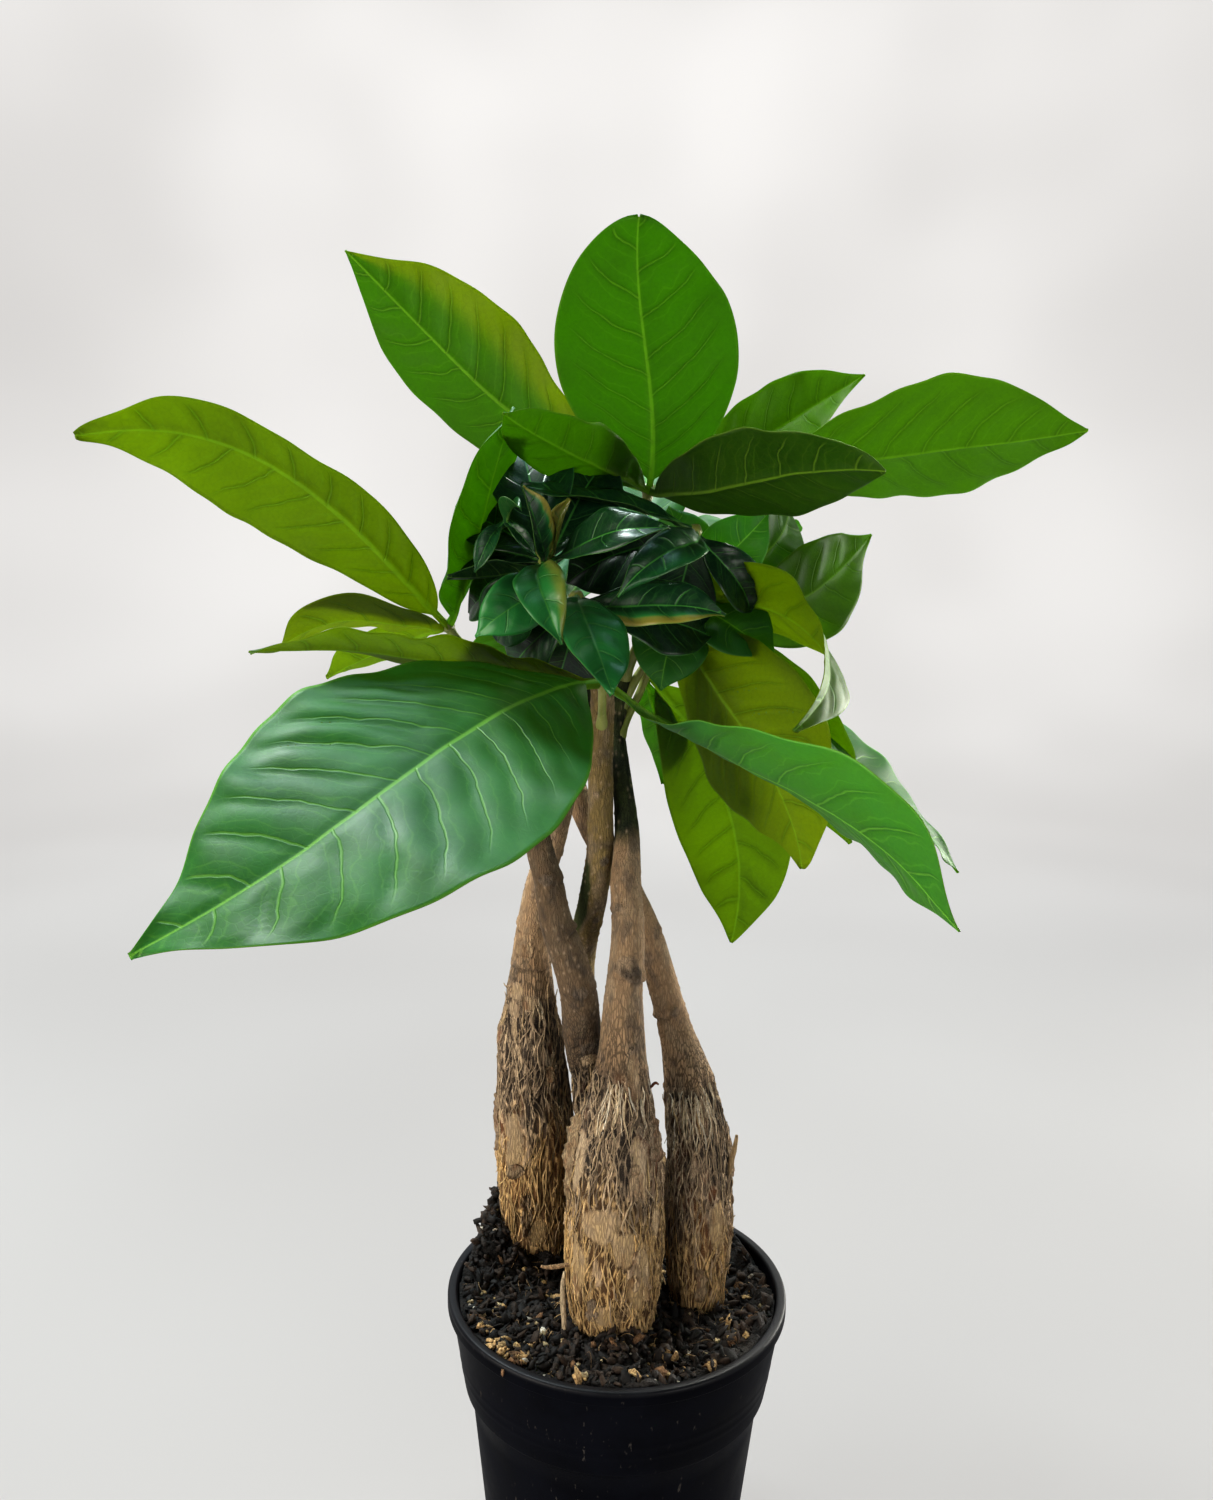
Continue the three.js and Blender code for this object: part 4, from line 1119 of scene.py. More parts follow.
def make_litter(lines):
    for name, kind in LITTER.items():
        shape = Shape(tone=3)
        spots, random = soil_spots(kind["count"], kind["seed"], lines)
        sizes = [lerp(*kind["size"], random.uniform() ** 2) for _ in spots]
        colours = [kind["tones"][k % 3] for k in range(len(spots))]
        for x, y, spread, tone in LUMPS if name == "bark_chips" else []:
            for _ in range(CLUSTER["count"]):
                cx, cy = (x, y) + random.normal(0, CLUSTER["scatter"] * spread, 2)
                spots.append((cx, cy, float(soil_height(cx, cy)) + CLUSTER["lift"] * spread))
                sizes.append(random.uniform(*CLUSTER["size"]) * spread)
                colours.append(kind["tones"][tone])
        for _ in range(HEAP_CRUMBS["count"] if name == "peat_crumbs" else 0):
            x, y, _, spread = HEAPS[0]
            cx, cy = (x, y) + random.normal(0, HEAP_CRUMBS["scatter"] * spread, 2)
            if math.hypot(cx, cy) < inner_radius(POT["height"]) - 1.5:
                lift = random.uniform(0, HEAP_CRUMBS["lift"])
                spots.append((cx, cy, float(soil_height(cx, cy)) + lift))
                sizes.append(random.uniform(*HEAP_CRUMBS["size"]))
                colours.append(kind["tones"][len(spots) % 3])
        for k, ((x, y, z), size, colour) in enumerate(zip(spots, sizes, colours)):
            form = np.array(kind["form"]) * random.uniform(0.75, 1.25, 3) * size
            points, faces = ball((0, 0, 0), form, k, 0.6, kind["rings"], kind["sides"])
            centre = np.array([x, y, z + kind["rise"] * size + rim_rise(x, y)])
            shape.add(points @ turned(random).T + centre, faces,
                      tone=np.array(colour) * random.uniform(0.7, 1.2))
        material = grain_material(name.replace("_", " "), kind["rough"], 1500.0)
        shape.piece(name, [material], "soil")


def make_fibres(lines):
    """Fine roots and coir fibres that lie in the soil."""
    shape = Shape(tone=3)
    kind = SOIL_FIBRES
    spots, random = soil_spots(kind["count"], kind["seed"], lines)
    for x, y, z in spots:
        heading = random.uniform(0, 2 * np.pi)
        length = random.uniform(*kind["length"])
        steps = np.linspace(-0.5, 0.5, 9)
        bend = random.uniform(-kind["bend"], kind["bend"])
        line_x = x + length * steps * np.cos(heading + bend * steps)
        line_y = y + length * steps * np.sin(heading + bend * steps)
        lift = random.uniform(*kind["lift"]) * (1 - (2 * steps) ** 2) + 0.6
        line = np.stack([line_x, line_y, soil_height(line_x, line_y) + lift - 0.3], axis=1)
        inside = np.hypot(line_x, line_y) < inner_radius(POT["height"]) - 2
        if inside.all():
            taper = np.sqrt(np.sin(np.pi * (steps + 0.55) / 1.1))
            radii = random.uniform(*kind["radius"]) * taper
            tone = blend(TAN, (0.08, 0.05, 0.03), np.array(random.uniform(0, 0.9)))
            shape.add(*tube(rings_along(line, radii, 5)), tone=tone)
    shape.piece("soil_fibres", [grain_material("soil fibres", 0.85, 1500.0)], "soil")


# ------------------------------------------------------------------ trunks

def trunk_line(points):
    """A trunk's centre line and radius, from the buried end to the top, in even steps."""
    x, y, z, r = points[0]
    knots = np.array([(x, y, ROOT_DEPTH, 0.4 * r), (x, y, 0.8 * z, 0.75 * r), *points], float)
    t = np.linspace(0, 1, 1600)
    centre = spline(knots[:, :3], t, even=False)
    length = np.concatenate([[0], np.cumsum(np.linalg.norm(np.diff(centre, axis=0), axis=1))])
    even = np.linspace(0, length[-1], round(length[-1] / TRUNK_STEP))
    t = np.interp(even, length, t)
    return dict(centre=spline(knots[:, :3], t, even=False), radius=spline(knots[:, 3], t)[:, 0],
                t=t)


def trunk_at(line, z):
    """The centre and radius of a trunk at height z, as x, y, radius."""
    height = line["centre"][:, 2]
    return tuple(np.interp(z, height, value)
                 for value in (line["centre"][:, 0], line["centre"][:, 1], line["radius"]))


def stem_grid(line):
    """A stem's fluted surface as a grid of points, and the way out at each."""
    centre, radius, t = line["centre"], line["radius"][:, None], line["t"][:, None]
    across, depth, _ = around(centre)
    angle = full_turn(TRUNK_SIDES)[None]
    way = (across[:, None] * np.cos(angle)[..., None] + depth[:, None] * np.sin(angle)[..., None])
    flutes = 0.05 * np.sin(3 * angle + 9 * t) + 0.03 * np.sin(5 * angle - 14 * t)
    girth = radius * (1 + flutes * smooth(radius, 5, 11))
    return centre[:, None] + way * girth[..., None], way


class Bark:
    """A trunk's bark on the grid of its surface: the height of its relief, the colours of its
    strands and of the gaps between them, and how wiry it is."""

    def __init__(self, name, line):
        self.looks, self.seed = BARK[name], 100 * (1 + list(TRUNKS).index(name))
        self.radius = line["radius"][:, None]
        self.place, self.way = stem_grid(line)
        self.azimuth = np.arctan2(self.way[..., 1], self.way[..., 0])
        self.z = line["centre"][:, 2][:, None] + np.zeros(TRUNK_SIDES)
        self.local = self.place - line["centre"][:, None]
        self.local[..., 2] = self.z
        self.shift = np.array([17.3, 5.1, 9.7]) * (1 + self.seed / 100)
        self.add_ridges()
        self.colour()
        self.add_rings()
        self.peel()
        self.add_knots()
        self.add_lenticels()
        self.surface = self.place + self.way * self.relief[..., None]

    def grain(self, wide, tall):
        """The surface's points, for noise whose grain is so wide and so tall."""
        return self.local / np.array([wide, wide, tall]) + self.shift

    def add_ridges(self):
        """Ridges and hairs, drawn out along the trunk, that wander from side to side."""
        seed, neck = self.seed, self.looks["neck"]
        sway = 1.5 * noise(self.grain(11, 11), seed) + 0.6 * noise(self.grain(4, 4), seed + 1)
        self.local = self.local + np.stack([sway, sway * 0.7, 0 * sway], axis=-1)
        ridges = ridged(self.grain(1.7, 13), 2, seed + 2)
        hairs = ridged(self.grain(0.8, 8), 1, seed + 5)
        self.lumps = fractal(self.grain(7, 12), 2, seed + 8)
        self.flakes = fractal(self.grain(4.5, 9), 3, seed + 12)
        self.ragged = noise(self.grain(4, 14), seed + 20)
        self.mottle = fractal(self.grain(3, 5), 3, seed + 24)
        # shade is a random mottle, plus painted light and shade: lighter on the ridges' crests and
        # darker between them.
        self.shade = np.clip(0.5 + 0.9 * self.mottle + 0.6 * (ridges - 0.4), 0, 1)
        self.wiry = 1 - smooth(self.z + 4 * self.ragged, neck - 5, neck + 3)
        self.rough = 1 - smooth(self.z + 6 * self.ragged, neck - 2, neck + 30)
        self.plates = smooth(self.flakes, 0.3, 0.36) * self.wiry
        on_swelling = (SWELLING["ridges"] * ridges + SWELLING["hairs"] * hairs - SWELLING["sink"]
                       + SWELLING["lumps"] * self.lumps + SWELLING["plates"] * self.plates)
        on_neck = (NECK["ridges"] * self.rough * ridges + NECK["hairs"] * hairs
                   + NECK["lumps"] * self.lumps - NECK["sink"])
        self.relief = self.wiry * on_swelling + (1 - self.wiry) * on_neck

    def colour(self):
        """The colour of the strands and, darker, of what lies between them, which is partly
        painted shade in those recesses.
        """
        looks, z, shade, mottle = self.looks, self.z, self.shade, self.mottle
        streaks = noise(self.grain(2.2, 16), self.seed + 22)
        tan = z + 9 * self.ragged + 13 * streaks
        tan = 1 - smooth(tan, looks["tan"] - 14, looks["tan"] + 16)
        green = smooth(z + 6 * self.ragged, looks["green"] - 3, looks["green"] + 6)
        strand = blend(blend(GREY_BARK, GREY_TAN, shade), blend(OCHRE, TAN, shade), tan)
        gap = blend(blend(DARK_BARK, (0.036, 0.026, 0.019), shade), (0.095, 0.052, 0.022), tan)
        gap = blend(gap, RUST, 0.45 * smooth(self.lumps, 0.15, 0.5) * (1 - 0.5 * tan))
        strand = blend(strand, CHAFF, 0.55 * self.plates)
        gap = blend(gap, CHAFF, 0.5 * self.plates * (0.3 + 0.7 * tan))
        stem = looks.get("stem", STEM)
        neck = blend(stem, blend(stem, NECK_TAN, np.array(0.6)), smooth(self.flakes, -0.15, 0.35))
        neck = blend(neck, NECK_GREY, 0.6 * smooth(-mottle, 0.05, 0.5))
        neck = blend(neck, blend(DARK_GREEN, GREEN_STEM, shade), green)
        if "moss" in looks:
            height, degrees, tall, wide = looks["moss"]
            sideways = round_from(degrees, self.azimuth, self.radius)
            away = np.hypot(sideways / wide, (z - height) / tall) + 0.2 * mottle
            neck = blend(neck, GREEN_STEM, 1 - smooth(away, 0.75, 1.05))
        self.strand = blend(neck, strand, self.wiry)
        self.gap = blend(blend(neck * 0.62, neck * 0.22, self.rough), gap, self.wiry)

    def paint(self, colour, on_strand, on_gap):
        """Blends a colour into the strands and the gaps, each by its own share."""
        self.strand = blend(self.strand, colour, on_strand)
        self.gap = blend(self.gap, colour, on_gap)

    def add_rings(self):
        """Scars round the stem. The painted light and shade of painted_light comes after them."""
        wander = 1.2 * noise(self.grain(3, 3), self.seed + 30)
        for height, strength in self.looks["rings"]:
            tilt = 0.12 * self.radius * np.sin(self.azimuth + height)
            away = self.z - height - tilt - wander
            part = strength * (0.55 + 0.45 * np.sin(self.azimuth - height))
            ring = part * (0.9 * bump(away, 1.3) - 1.1 * bump(away + 1.5, 0.55))
            self.relief = self.relief + ring
            scar = bump(away + 1.4, 0.7) * np.clip(part, 0, 1)
            self.paint(DARK_BARK, 0.75 * scar, 0.85 * scar)
            rusty = 0.35 * bump(away - 1.5, 2.2) * np.clip(part, 0, 1)
            self.strand = blend(self.strand, RUST, rusty)
        # Painted light and shade: each trunk's surface colours are made brighter or darker by how
        # light falls on it.
        self.strand, self.gap = self.strand * self.looks["painted_light"], self.gap * self.looks["painted_light"]

    def peel(self):
        """Patches where the bark has peeled, each with a raised and ragged lip."""
        torn = noise(self.grain(2.6, 4), self.seed + 40)
        torn = torn + 0.5 * noise(self.grain(1.1, 1.1), self.seed + 41)
        torn = torn + 1.1 * noise(self.grain(6, 9), self.seed + 42)
        high = smooth(self.z, 100, 175)
        inner = blend(blend(OCHRE, CHAFF, high), blend(TAN, CHAFF, 0.5 * high), self.shade)
        inner = blend(inner, RUST, 0.6 * smooth(self.flakes, -0.1, 0.45))
        inner = blend(inner, GREY_TAN, 0.55 * smooth(-self.mottle, 0, 0.5)) * 0.84
        for patch in self.looks["patches"]:
            away = patch_distance(patch, self.z, self.azimuth, self.radius) + 0.26 * torn
            bare = 1 - smooth(away, 0.84, 0.93)
            lip = bump(away - 1.0, 0.07)
            self.relief = lerp(self.relief, 0.12 * self.lumps - 0.15, bare) + 0.4 * lip
            self.strand = blend(blend(self.strand, inner, bare), CHAFF, 0.5 * lip)
            self.gap = blend(self.gap, inner * 0.55, bare)
            self.gap = blend(self.gap, DARK_BARK, 0.5 * bump(away - 1.12, 0.09))
            self.wiry = self.wiry * (1 - bare)

    def add_knots(self):
        """Rough scabs, grey and pale."""
        for height, degrees, size in self.looks.get("knots", []):
            sideways = round_from(degrees, self.azimuth, self.radius)
            away = np.hypot(sideways, (self.z - height) * 1.1) / size + 0.35 * self.mottle
            knot = 1 - smooth(away, 0.7, 1.05)
            lumpy = noise(self.local * 1.3 + self.shift, self.seed + 60)
            self.relief = self.relief + knot * (0.5 + 0.9 * lumpy)
            inner = blend(NECK_GREY, CHAFF, np.clip(0.3 + 1.3 * self.mottle, 0, 1))
            self.strand = blend(self.strand, inner, 0.7 * knot)
            self.gap = blend(self.gap, inner * 0.5, 0.7 * knot)

    def add_lenticels(self):
        """Small raised dots on the smooth part of the stem."""
        dots = lenticels(self.radius * self.azimuth, self.z, self.seed + 50)
        dots = dots * (1 - self.wiry) * (1 - self.rough)
        self.relief = self.relief + 0.3 * dots
        self.paint(CHAFF, 0.55 * dots, 0.4 * dots)


def round_from(degrees, azimuth, radius):
    """How far round a stem a place is from an azimuth in degrees."""
    turn = azimuth - math.radians(degrees)
    return radius * np.arctan2(np.sin(turn), np.cos(turn))


def patch_distance(patch, z, azimuth, radius):
    """How far a place is from the middle of a patch of peeled bark. It is 1 at its edge."""
    height, degrees, tall, wide = patch
    power = 2.6  # 2 would make an ellipse, and more a fuller shape
    sideways = round_from(degrees, azimuth, radius)
    away = np.abs(sideways / wide) ** power + np.abs((z - height) / tall) ** power
    return away ** (1 / power)


def lenticels(u, z, seed):
    """Small raised dots scattered over a stem, 1 at the middle of each."""
    cell = np.stack([u / 2.6, z / 3.4, 0 * z], axis=-1)
    home = np.floor(cell).astype(np.int64)
    inside = cell - home
    jitter = [0.25 + 0.5 * hashed(home, seed + i) for i in range(2)]
    away = np.hypot((inside[..., 0] - jitter[0]) * 2.6, (inside[..., 1] - jitter[1]) * 3.4)
    return bump(away, 0.42) * (hashed(home, seed + 2) > 0.5)


class Skin:
    """A trunk's surface, looked up by height and azimuth."""

    def __init__(self, surface, line):
        self.surface, self.centre, self.radius = surface, line["centre"], line["radius"]
        away = surface - self.centre[:, None]
        self.azimuth = np.arctan2(away[..., 1], away[..., 0])

    def at(self, z, azimuth):
        """Points of the skin at heights z and azimuths in radians, and the way out there."""
        row = np.interp(z, self.centre[:, 2], np.arange(len(self.centre)))
        low = np.minimum(row.astype(int), len(self.centre) - 2)
        part = (row - low)[:, None]
        found = []
        for rows in (low, low + 1):
            turn = self.azimuth[rows] - azimuth[:, None]
            nearest = np.argmin(np.abs(np.arctan2(np.sin(turn), np.cos(turn))), axis=1)
            found.append(self.surface[rows, nearest])
        centre = lerp(self.centre[low], self.centre[low + 1], part)
        point = lerp(found[0], found[1], part)
        return point, unit(point - centre)

    def girth(self, z):
        return np.interp(z, self.centre[:, 2], self.radius)


def make_trunk(name, line, material):
    """A trunk with its strands, loose plates, fans of fibre and twigs, as one piece."""
    bark = Bark(name, line)
    points, faces = tube(bark.surface)
    layers = [np.vstack([grid.reshape(-1, grid.shape[-1]), grid[0].mean(0), grid[-1].mean(0)])
              for grid in (bark.strand, bark.gap, bark.wiry[..., None])]
    shape = Shape(bark=3, gap=3, wiry=1)
    shape.add(points, faces, bark=layers[0], gap=layers[1], wiry=layers[2])
    skin = Skin(bark.surface, line)
    random = np.random.default_rng(7 + list(TRUNKS).index(name))
    add_strands(shape, skin, name, random)
    for flap in BARK[name]["flaps"]:
        add_flap(shape, skin, random, *flap)
    for fan in BARK[name]["fans"]:
        add_fan(shape, skin, random, *fan)
    add_peelings(shape, skin, name, random)
    for path, radius, tone in TWIGS.get(name, []):
        path = bezier([np.array(point, float) for point in path], np.linspace(0, 1, 14))
        path = path + np.cumsum(random.normal(0, 0.09, path.shape), axis=0)
        add_wire(shape, path, radius, np.array(tone), 8)
    shape.piece(f"{name}_trunk", [material], "bark", [f"trunk_{name}"])


def smoothed(path):
    """A path whose inner points are drawn halfway towards their neighbours."""
    inner = (path[:-2] + 2 * path[1:-1] + path[2:]) / 4
    return np.vstack([path[:1], inner, path[-1:]])


def add_wire(shape, path, radius, tone, sides=5):
    """A thin fibre along a path, tapered at both ends."""
    taper = np.sqrt(np.sin(np.pi * np.linspace(0.1, 0.9, len(path))))
    tone = np.clip(tone, 0, 1)
    shape.add(*tube(rings_along(path, radius * taper, sides)), bark=tone, gap=tone * 0.55, wiry=0)


def add_strands(shape, skin, name, random):
    """Wiry strands of bark that run down the swelling, cross and part again."""
    looks = BARK[name]
    low, high = SOIL["level"] + 1, looks["neck"] + 2
    for _ in range(looks["strands"]):
        start = random.uniform(low, high)
        length = random.uniform(*STRANDS["length"])
        z = np.linspace(start, max(low - 4, start - length), STRANDS["steps"])
        azimuth = random.uniform(-np.pi, np.pi)
        girth = skin.girth(start)
        swing = random.uniform(*STRANDS["swing"]) * np.sin(z / random.uniform(2.6, 5) + start)
        drift = random.uniform(-STRANDS["drift"], STRANDS["drift"]) * (start - z)
        field = 1.6 * noise(plane(0 * z + 5 * azimuth, z / 9), 77)
        angle = azimuth + (swing + drift + field) / girth
        skin_point, out = skin.at(z, angle)
        lift = random.uniform(*STRANDS["lift"]) - 0.3 * np.linspace(-1, 1, STRANDS["steps"]) ** 6
        for patch in looks["patches"]:
            inside = 1 - smooth(patch_distance(patch, z, angle, girth), 0.6, 0.9)
            lift = lift - STRANDS["sink"] * inside
        path = smoothed(skin_point + out * lift[:, None])
        low_share = 1 - smooth(np.array(start), looks["tan"] - 2, looks["tan"] + 10)
        shade = np.array(random.uniform())
        tone = blend(blend(GREY_BARK, GREY_TAN, shade), blend(OCHRE, TAN, shade), low_share)
        tone = tone * random.uniform(0.85, 1.35)
        add_wire(shape, path, random.uniform(*STRANDS["radius"]), tone)


def add_fan(shape, skin, random, height, degrees, count, length, spread):
    """Pale fibres that spread down and out from a scar."""
    s = np.linspace(0, 1, FANS["steps"])
    for _ in range(count):
        own = random.uniform(0.45, 1) * length
        z = height - np.linspace(0, own, FANS["steps"]) + random.uniform(*FANS["start"])
        part = random.uniform(-1, 1)
        opening = np.radians(part * spread / 2) * (0.6 + 0.4 * s ** 0.7)
        wobble = random.uniform(*FANS["sway"]) * np.sin(z / random.uniform(1.6, 3))
        point, out = skin.at(z, math.radians(degrees) + opening + wobble / skin.girth(height))
        lift = random.uniform(*FANS["lift"]) - 0.35 * s ** 3
        path = smoothed(point + out * lift[:, None])
        tone = blend(TAN, PALE_FIBRE, np.array(random.uniform(0.3, 1)))
        add_wire(shape, path, random.uniform(*FANS["radius"]), tone)


def add_flap(shape, skin, random, height, degrees, tall, wide, lift):
    """A thin plate of bark that is coming off along one side."""
    rows, columns = FLAP["rows"], FLAP["columns"]
    z = np.linspace(height - tall, height + tall, rows)
    u = np.linspace(-1, 1, columns)
    girth = skin.girth(height)
    free = 1 if math.cos(math.radians(degrees)) > 0 else -1
    outer, inner = [], []
    ragged = 1 + 0.4 * noise(plane(z / 1.6, 0 * z + degrees), 15)
    for i, level in enumerate(z):
        end = ragged[i] * math.sqrt(max(0.04, 1 - (2 * i / (rows - 1) - 1) ** 4))
        shift = 0.35 * wide * float(noise(np.array([level / 3, degrees, height]), 5))
        angle = math.radians(degrees) + (u * wide * end + shift) / girth
        point, out = skin.at(np.full(columns, level), angle)
        curl = lift * np.clip(0.5 + 0.5 * u * free, 0, 1) ** 2 * (0.4 + 0.6 * end)
        rough = 0.18 * noise(plane(u * 2, 0 * u + level / 2), 9)
        outer.append(point + out * (curl + rough + FLAP["outer"])[:, None])
        inner.append(point + out * (curl + rough + FLAP["inner"])[:, None])
    points, front, back, rim = two_sided(np.array(outer), np.array(inner))
    tone = blend(TAN, CHAFF, np.array(random.uniform(0.4, 1))) * random.uniform(0.6, 0.85)
    mottle = fractal(points / 1.9, 3, 19)
    tone = blend(tone, blend(RUST, tone, np.array(0.4)), smooth(mottle, -0.1, 0.5))
    shape.add(points, [(front, None), (back, None), (rim, None)], bark=tone, gap=tone * 0.45,
              wiry=0)


def add_peelings(shape, skin, name, random):
    """Loose ends of fibre that stand off the swollen base."""
    low, high = SOIL["level"] + 4, BARK[name]["neck"] - 4
    s = np.linspace(0, 1, PEELINGS["steps"])
    for _ in range(PEELINGS["count"]):
        start = low + (high - low) * random.uniform() ** 1.3
        z = start + random.uniform(*PEELINGS["length"]) * s
        azimuth = random.uniform(-np.pi, np.pi) + random.uniform(-0.15, 0.15) * s
        point, out = skin.at(z, azimuth)
        free = s[::-1] if random.uniform() < 0.5 else s
        path = point + out * (0.1 + random.uniform(*PEELINGS["stand"]) * free[:, None] ** 2.5)
        path = path + np.cumsum(random.normal(0, 0.07, path.shape), axis=0)
        tone = blend(TAN, CHAFF, np.array(random.uniform()))
        add_wire(shape, path, random.uniform(*PEELINGS["radius"]), tone)


# ------------------------------------------------------------------ leaves

TOP, UNDER, GREEN_STALK = range(3)


def outline(look, t, side):
    """Half a leaflet's width at t, on its left (side -1) or its right (side 1)."""
    skew = math.log(0.5) / math.log(look["widest"])
    share = np.clip((t - look["stalk"]) / (1 - look["stalk"]), 0, 1)
    half = look["width"] / 2 * np.clip(np.sin(np.pi * share ** skew), 0, 1) ** look["full"]
    trim = look["trim"][0 if side < 0 else 1]
    half = half * spline(trim, t)[:, 0] * (1 - look["point"] * smooth(t, 0.84, 1.0))
    return np.maximum(half, lerp(STALK_WIDTH, TIP_WIDTH, t) / 2)


class Leaflet:
    """A leaflet's two sides as grids of points, from the hub to its tip. t runs along it from 0
    to 1, and v across it from -1 at the left margin to 1 at the right one."""

    def __init__(self, hub, entry, seed):
        self.look, self.seed = {**BLADE, **entry}, seed
        self.random = np.random.default_rng(seed)
        hub, tip = np.array(hub, float), np.array(self.look["tip"], float)
        self.length = float(np.linalg.norm(tip - hub))
        rows = max(14, round(self.length / BLADE_STEP))
        columns = 2 * max(6, round(self.look["width"] / 2 / BLADE_STEP))
        even = np.linspace(0, 1, rows + 1)
        t = lerp(even, 0.5 - 0.5 * np.cos(np.pi * even), 0.5)
        v = np.linspace(-1, 1, columns + 1)
        self.v = (np.sign(v) * np.abs(v) ** 1.15)[None]
        self.out = np.abs(self.v)
        self.t = t[:, None]
        halves = [outline(self.look, t, s)[:, None] for s in (-1, 1)]
        self.half = np.where(self.v < 0, halves[0], halves[1])
        self.x = self.half * self.v
        self.y = self.length * self.t + 0 * self.x
        self.lay_midrib(hub, tip, t)
        self.fold()
        self.add_relief()

    def lay_midrib(self, hub, tip, t):
        """The curve of the midrib, and the ways across it and up from it."""
        look, chord = self.look, tip - hub
        along = chord / self.length
        face = np.array(look["face"], float)
        up = unit(face - along * (face @ along))
        side = unit(np.cross(chord, up))
        middle = [hub + chord * (i + 1) / 3 + up * look["bow"][i] + side * look["sway"][i]
                  for i in range(2)]
        self.line = bezier([hub, *middle, tip], t)
        tangent = unit(np.gradient(self.line, t, axis=0))
        level = unit(side - tangent * (tangent @ side)[:, None])
        turn = np.radians(look["twist"] * self.t)
        self.across = level * np.cos(turn) + np.cross(tangent, level) * np.sin(turn)
        self.normal = np.cross(self.across, tangent)

    def fold(self):
        """How far each point lies across and above the midrib, as the halves fold and roll."""
        lift = math.radians(self.look["fold"]) * smooth(self.t, 0, 0.25)
        roll = np.where(self.v < 0, *[math.radians(c) + 1e-4 for c in self.look["curl"]])
        roll = roll * smooth(self.t, 0.05, 0.4) + 1e-5  # never 0, because it divides
        turned_up = lift + roll * self.out
        self.flat = self.half * (np.sin(turned_up) - np.sin(lift)) / roll * np.sign(self.v)
        self.raised = self.half * (np.cos(lift) - np.cos(turned_up)) / roll

    def add_relief(self):
        """The pillows between the side veins, the waves of the margins and the midrib."""
        look, length, t, v, out, x, y = (self.look, self.length, self.t, self.v, self.out,
                                         self.x, self.y)
        veins = max(5, round(length / look["spacing"]))
        start = t - self.half / length * (0.45 * out + 0.4 * out ** 2)
        self.phase = veins * np.sign(start) * np.abs(start) ** VEIN_SPREAD
        own = self.phase + 0.5 * (v > 0) + 0.12 * noise(plane(x / 9, y / 9), self.seed)
        pillow = np.abs(np.sin(np.pi * own)) ** 0.75
        window = smooth(out, 0.02, 0.25) * (1 - smooth(out, 0.7, 1)) * smooth(t, 0.05, 0.16)
        window = window * (1 - smooth(t, 0.8, 1))
        strong = 0.85 + 0.6 * noise(plane(x / 30, y / 30, 3), self.seed + 1)
        relief = look["quilt"] * (pillow - 0.5) * window * strong
        cycles = self.random.uniform(*MARGIN_WAVES, 2) * length / 100
        starts = self.random.uniform(0, 1, 2)
        for this, cycle, begin in zip((v < 0, v >= 0), cycles, starts):
            wave = np.sin(2 * np.pi * (cycle * t + begin))
            wave = wave + 0.5 * np.sin(2 * np.pi * (2.3 * cycle * t + 2 * begin))
            relief = relief + this * look["wave"] * wave * out ** 2.2 * smooth(t, 0.05, 0.3)
        relief = relief + 0.5 * fractal(plane(x / 16, y / 16, 7), 2, self.seed + 2)
        groove = 0.55 * bump(x, 1.7) * lerp(1, 0.3, t) * smooth(t, 0, 0.1)
        self.relief = relief - groove

    def sides(self):
        """The grids of its upper and its lower side, thicker at the stalk and the midrib."""
        sheet = (self.line[:, None] + self.across[:, None] * self.flat[..., None]
                 + self.normal[:, None] * (self.raised + self.relief)[..., None])
        grain = unit(np.cross(np.gradient(sheet, axis=1), np.gradient(sheet, axis=0)))
        grain = grain * np.sign(np.sum(grain * self.normal[:, None], axis=-1).mean())
        stalk, out = self.look["stalk"], self.out
        stem = 1 - smooth(self.t, stalk * 0.6, stalk + 0.1)
        body = LAMINA / 2 * (1 - 0.5 * out ** 8) + 0.75 * stem * np.sqrt(1.02 - np.minimum(out, 1))
        rib = self.rib_width(0.2) * bump(self.x, lerp(1.05, 0.45, self.t))
        upper, lower = (body + 0.12 * rib)[..., None], (body + rib)[..., None]
        return sheet + grain * upper, sheet - grain * lower

    def rib_width(self, at_tip, power=1):
        """How wide the midrib is, growing with the leaflet and narrowing towards the tip."""
        return math.sqrt(self.length / 120) * lerp(1.15, at_tip, self.t ** power)

    def layers(self):
        """What the leaf's materials read at each point of one side."""
        look, x = self.look, self.x
        edges = look["edge"] or (look["yellow"], look["yellow"])
        yellow = lerp(look["yellow"], np.where(self.v < 0, *edges), smooth(self.out, 0.3, 0.75))
        yellow = np.clip(yellow + 0 * x + 0.04 * self.random.normal(), 0, 1)
        return dict(blade=(x / 100, self.y / 100 + self.seed % 97),
                    veins=(self.v + 0 * x, self.phase),
                    rib=(x / self.rib_width(0.32, 0.8), self.t + 0 * x), yellow=(yellow,))


def add_leaflet(shape, hub, entry, seed):
    """Adds a closed leaflet with its layers."""
    leaflet = Leaflet(hub, entry, seed)
    points, front, back, rim = two_sided(*leaflet.sides())
    layers = {}
    for name, values in leaflet.layers().items():
        one_side = np.stack(values, axis=-1).reshape(-1, len(values))
        layers[name] = np.vstack([one_side, one_side])
    shape.add(points, [(front, TOP), (back, UNDER), (rim, UNDER)], dark=leaflet.look["dark"],
              **layers)


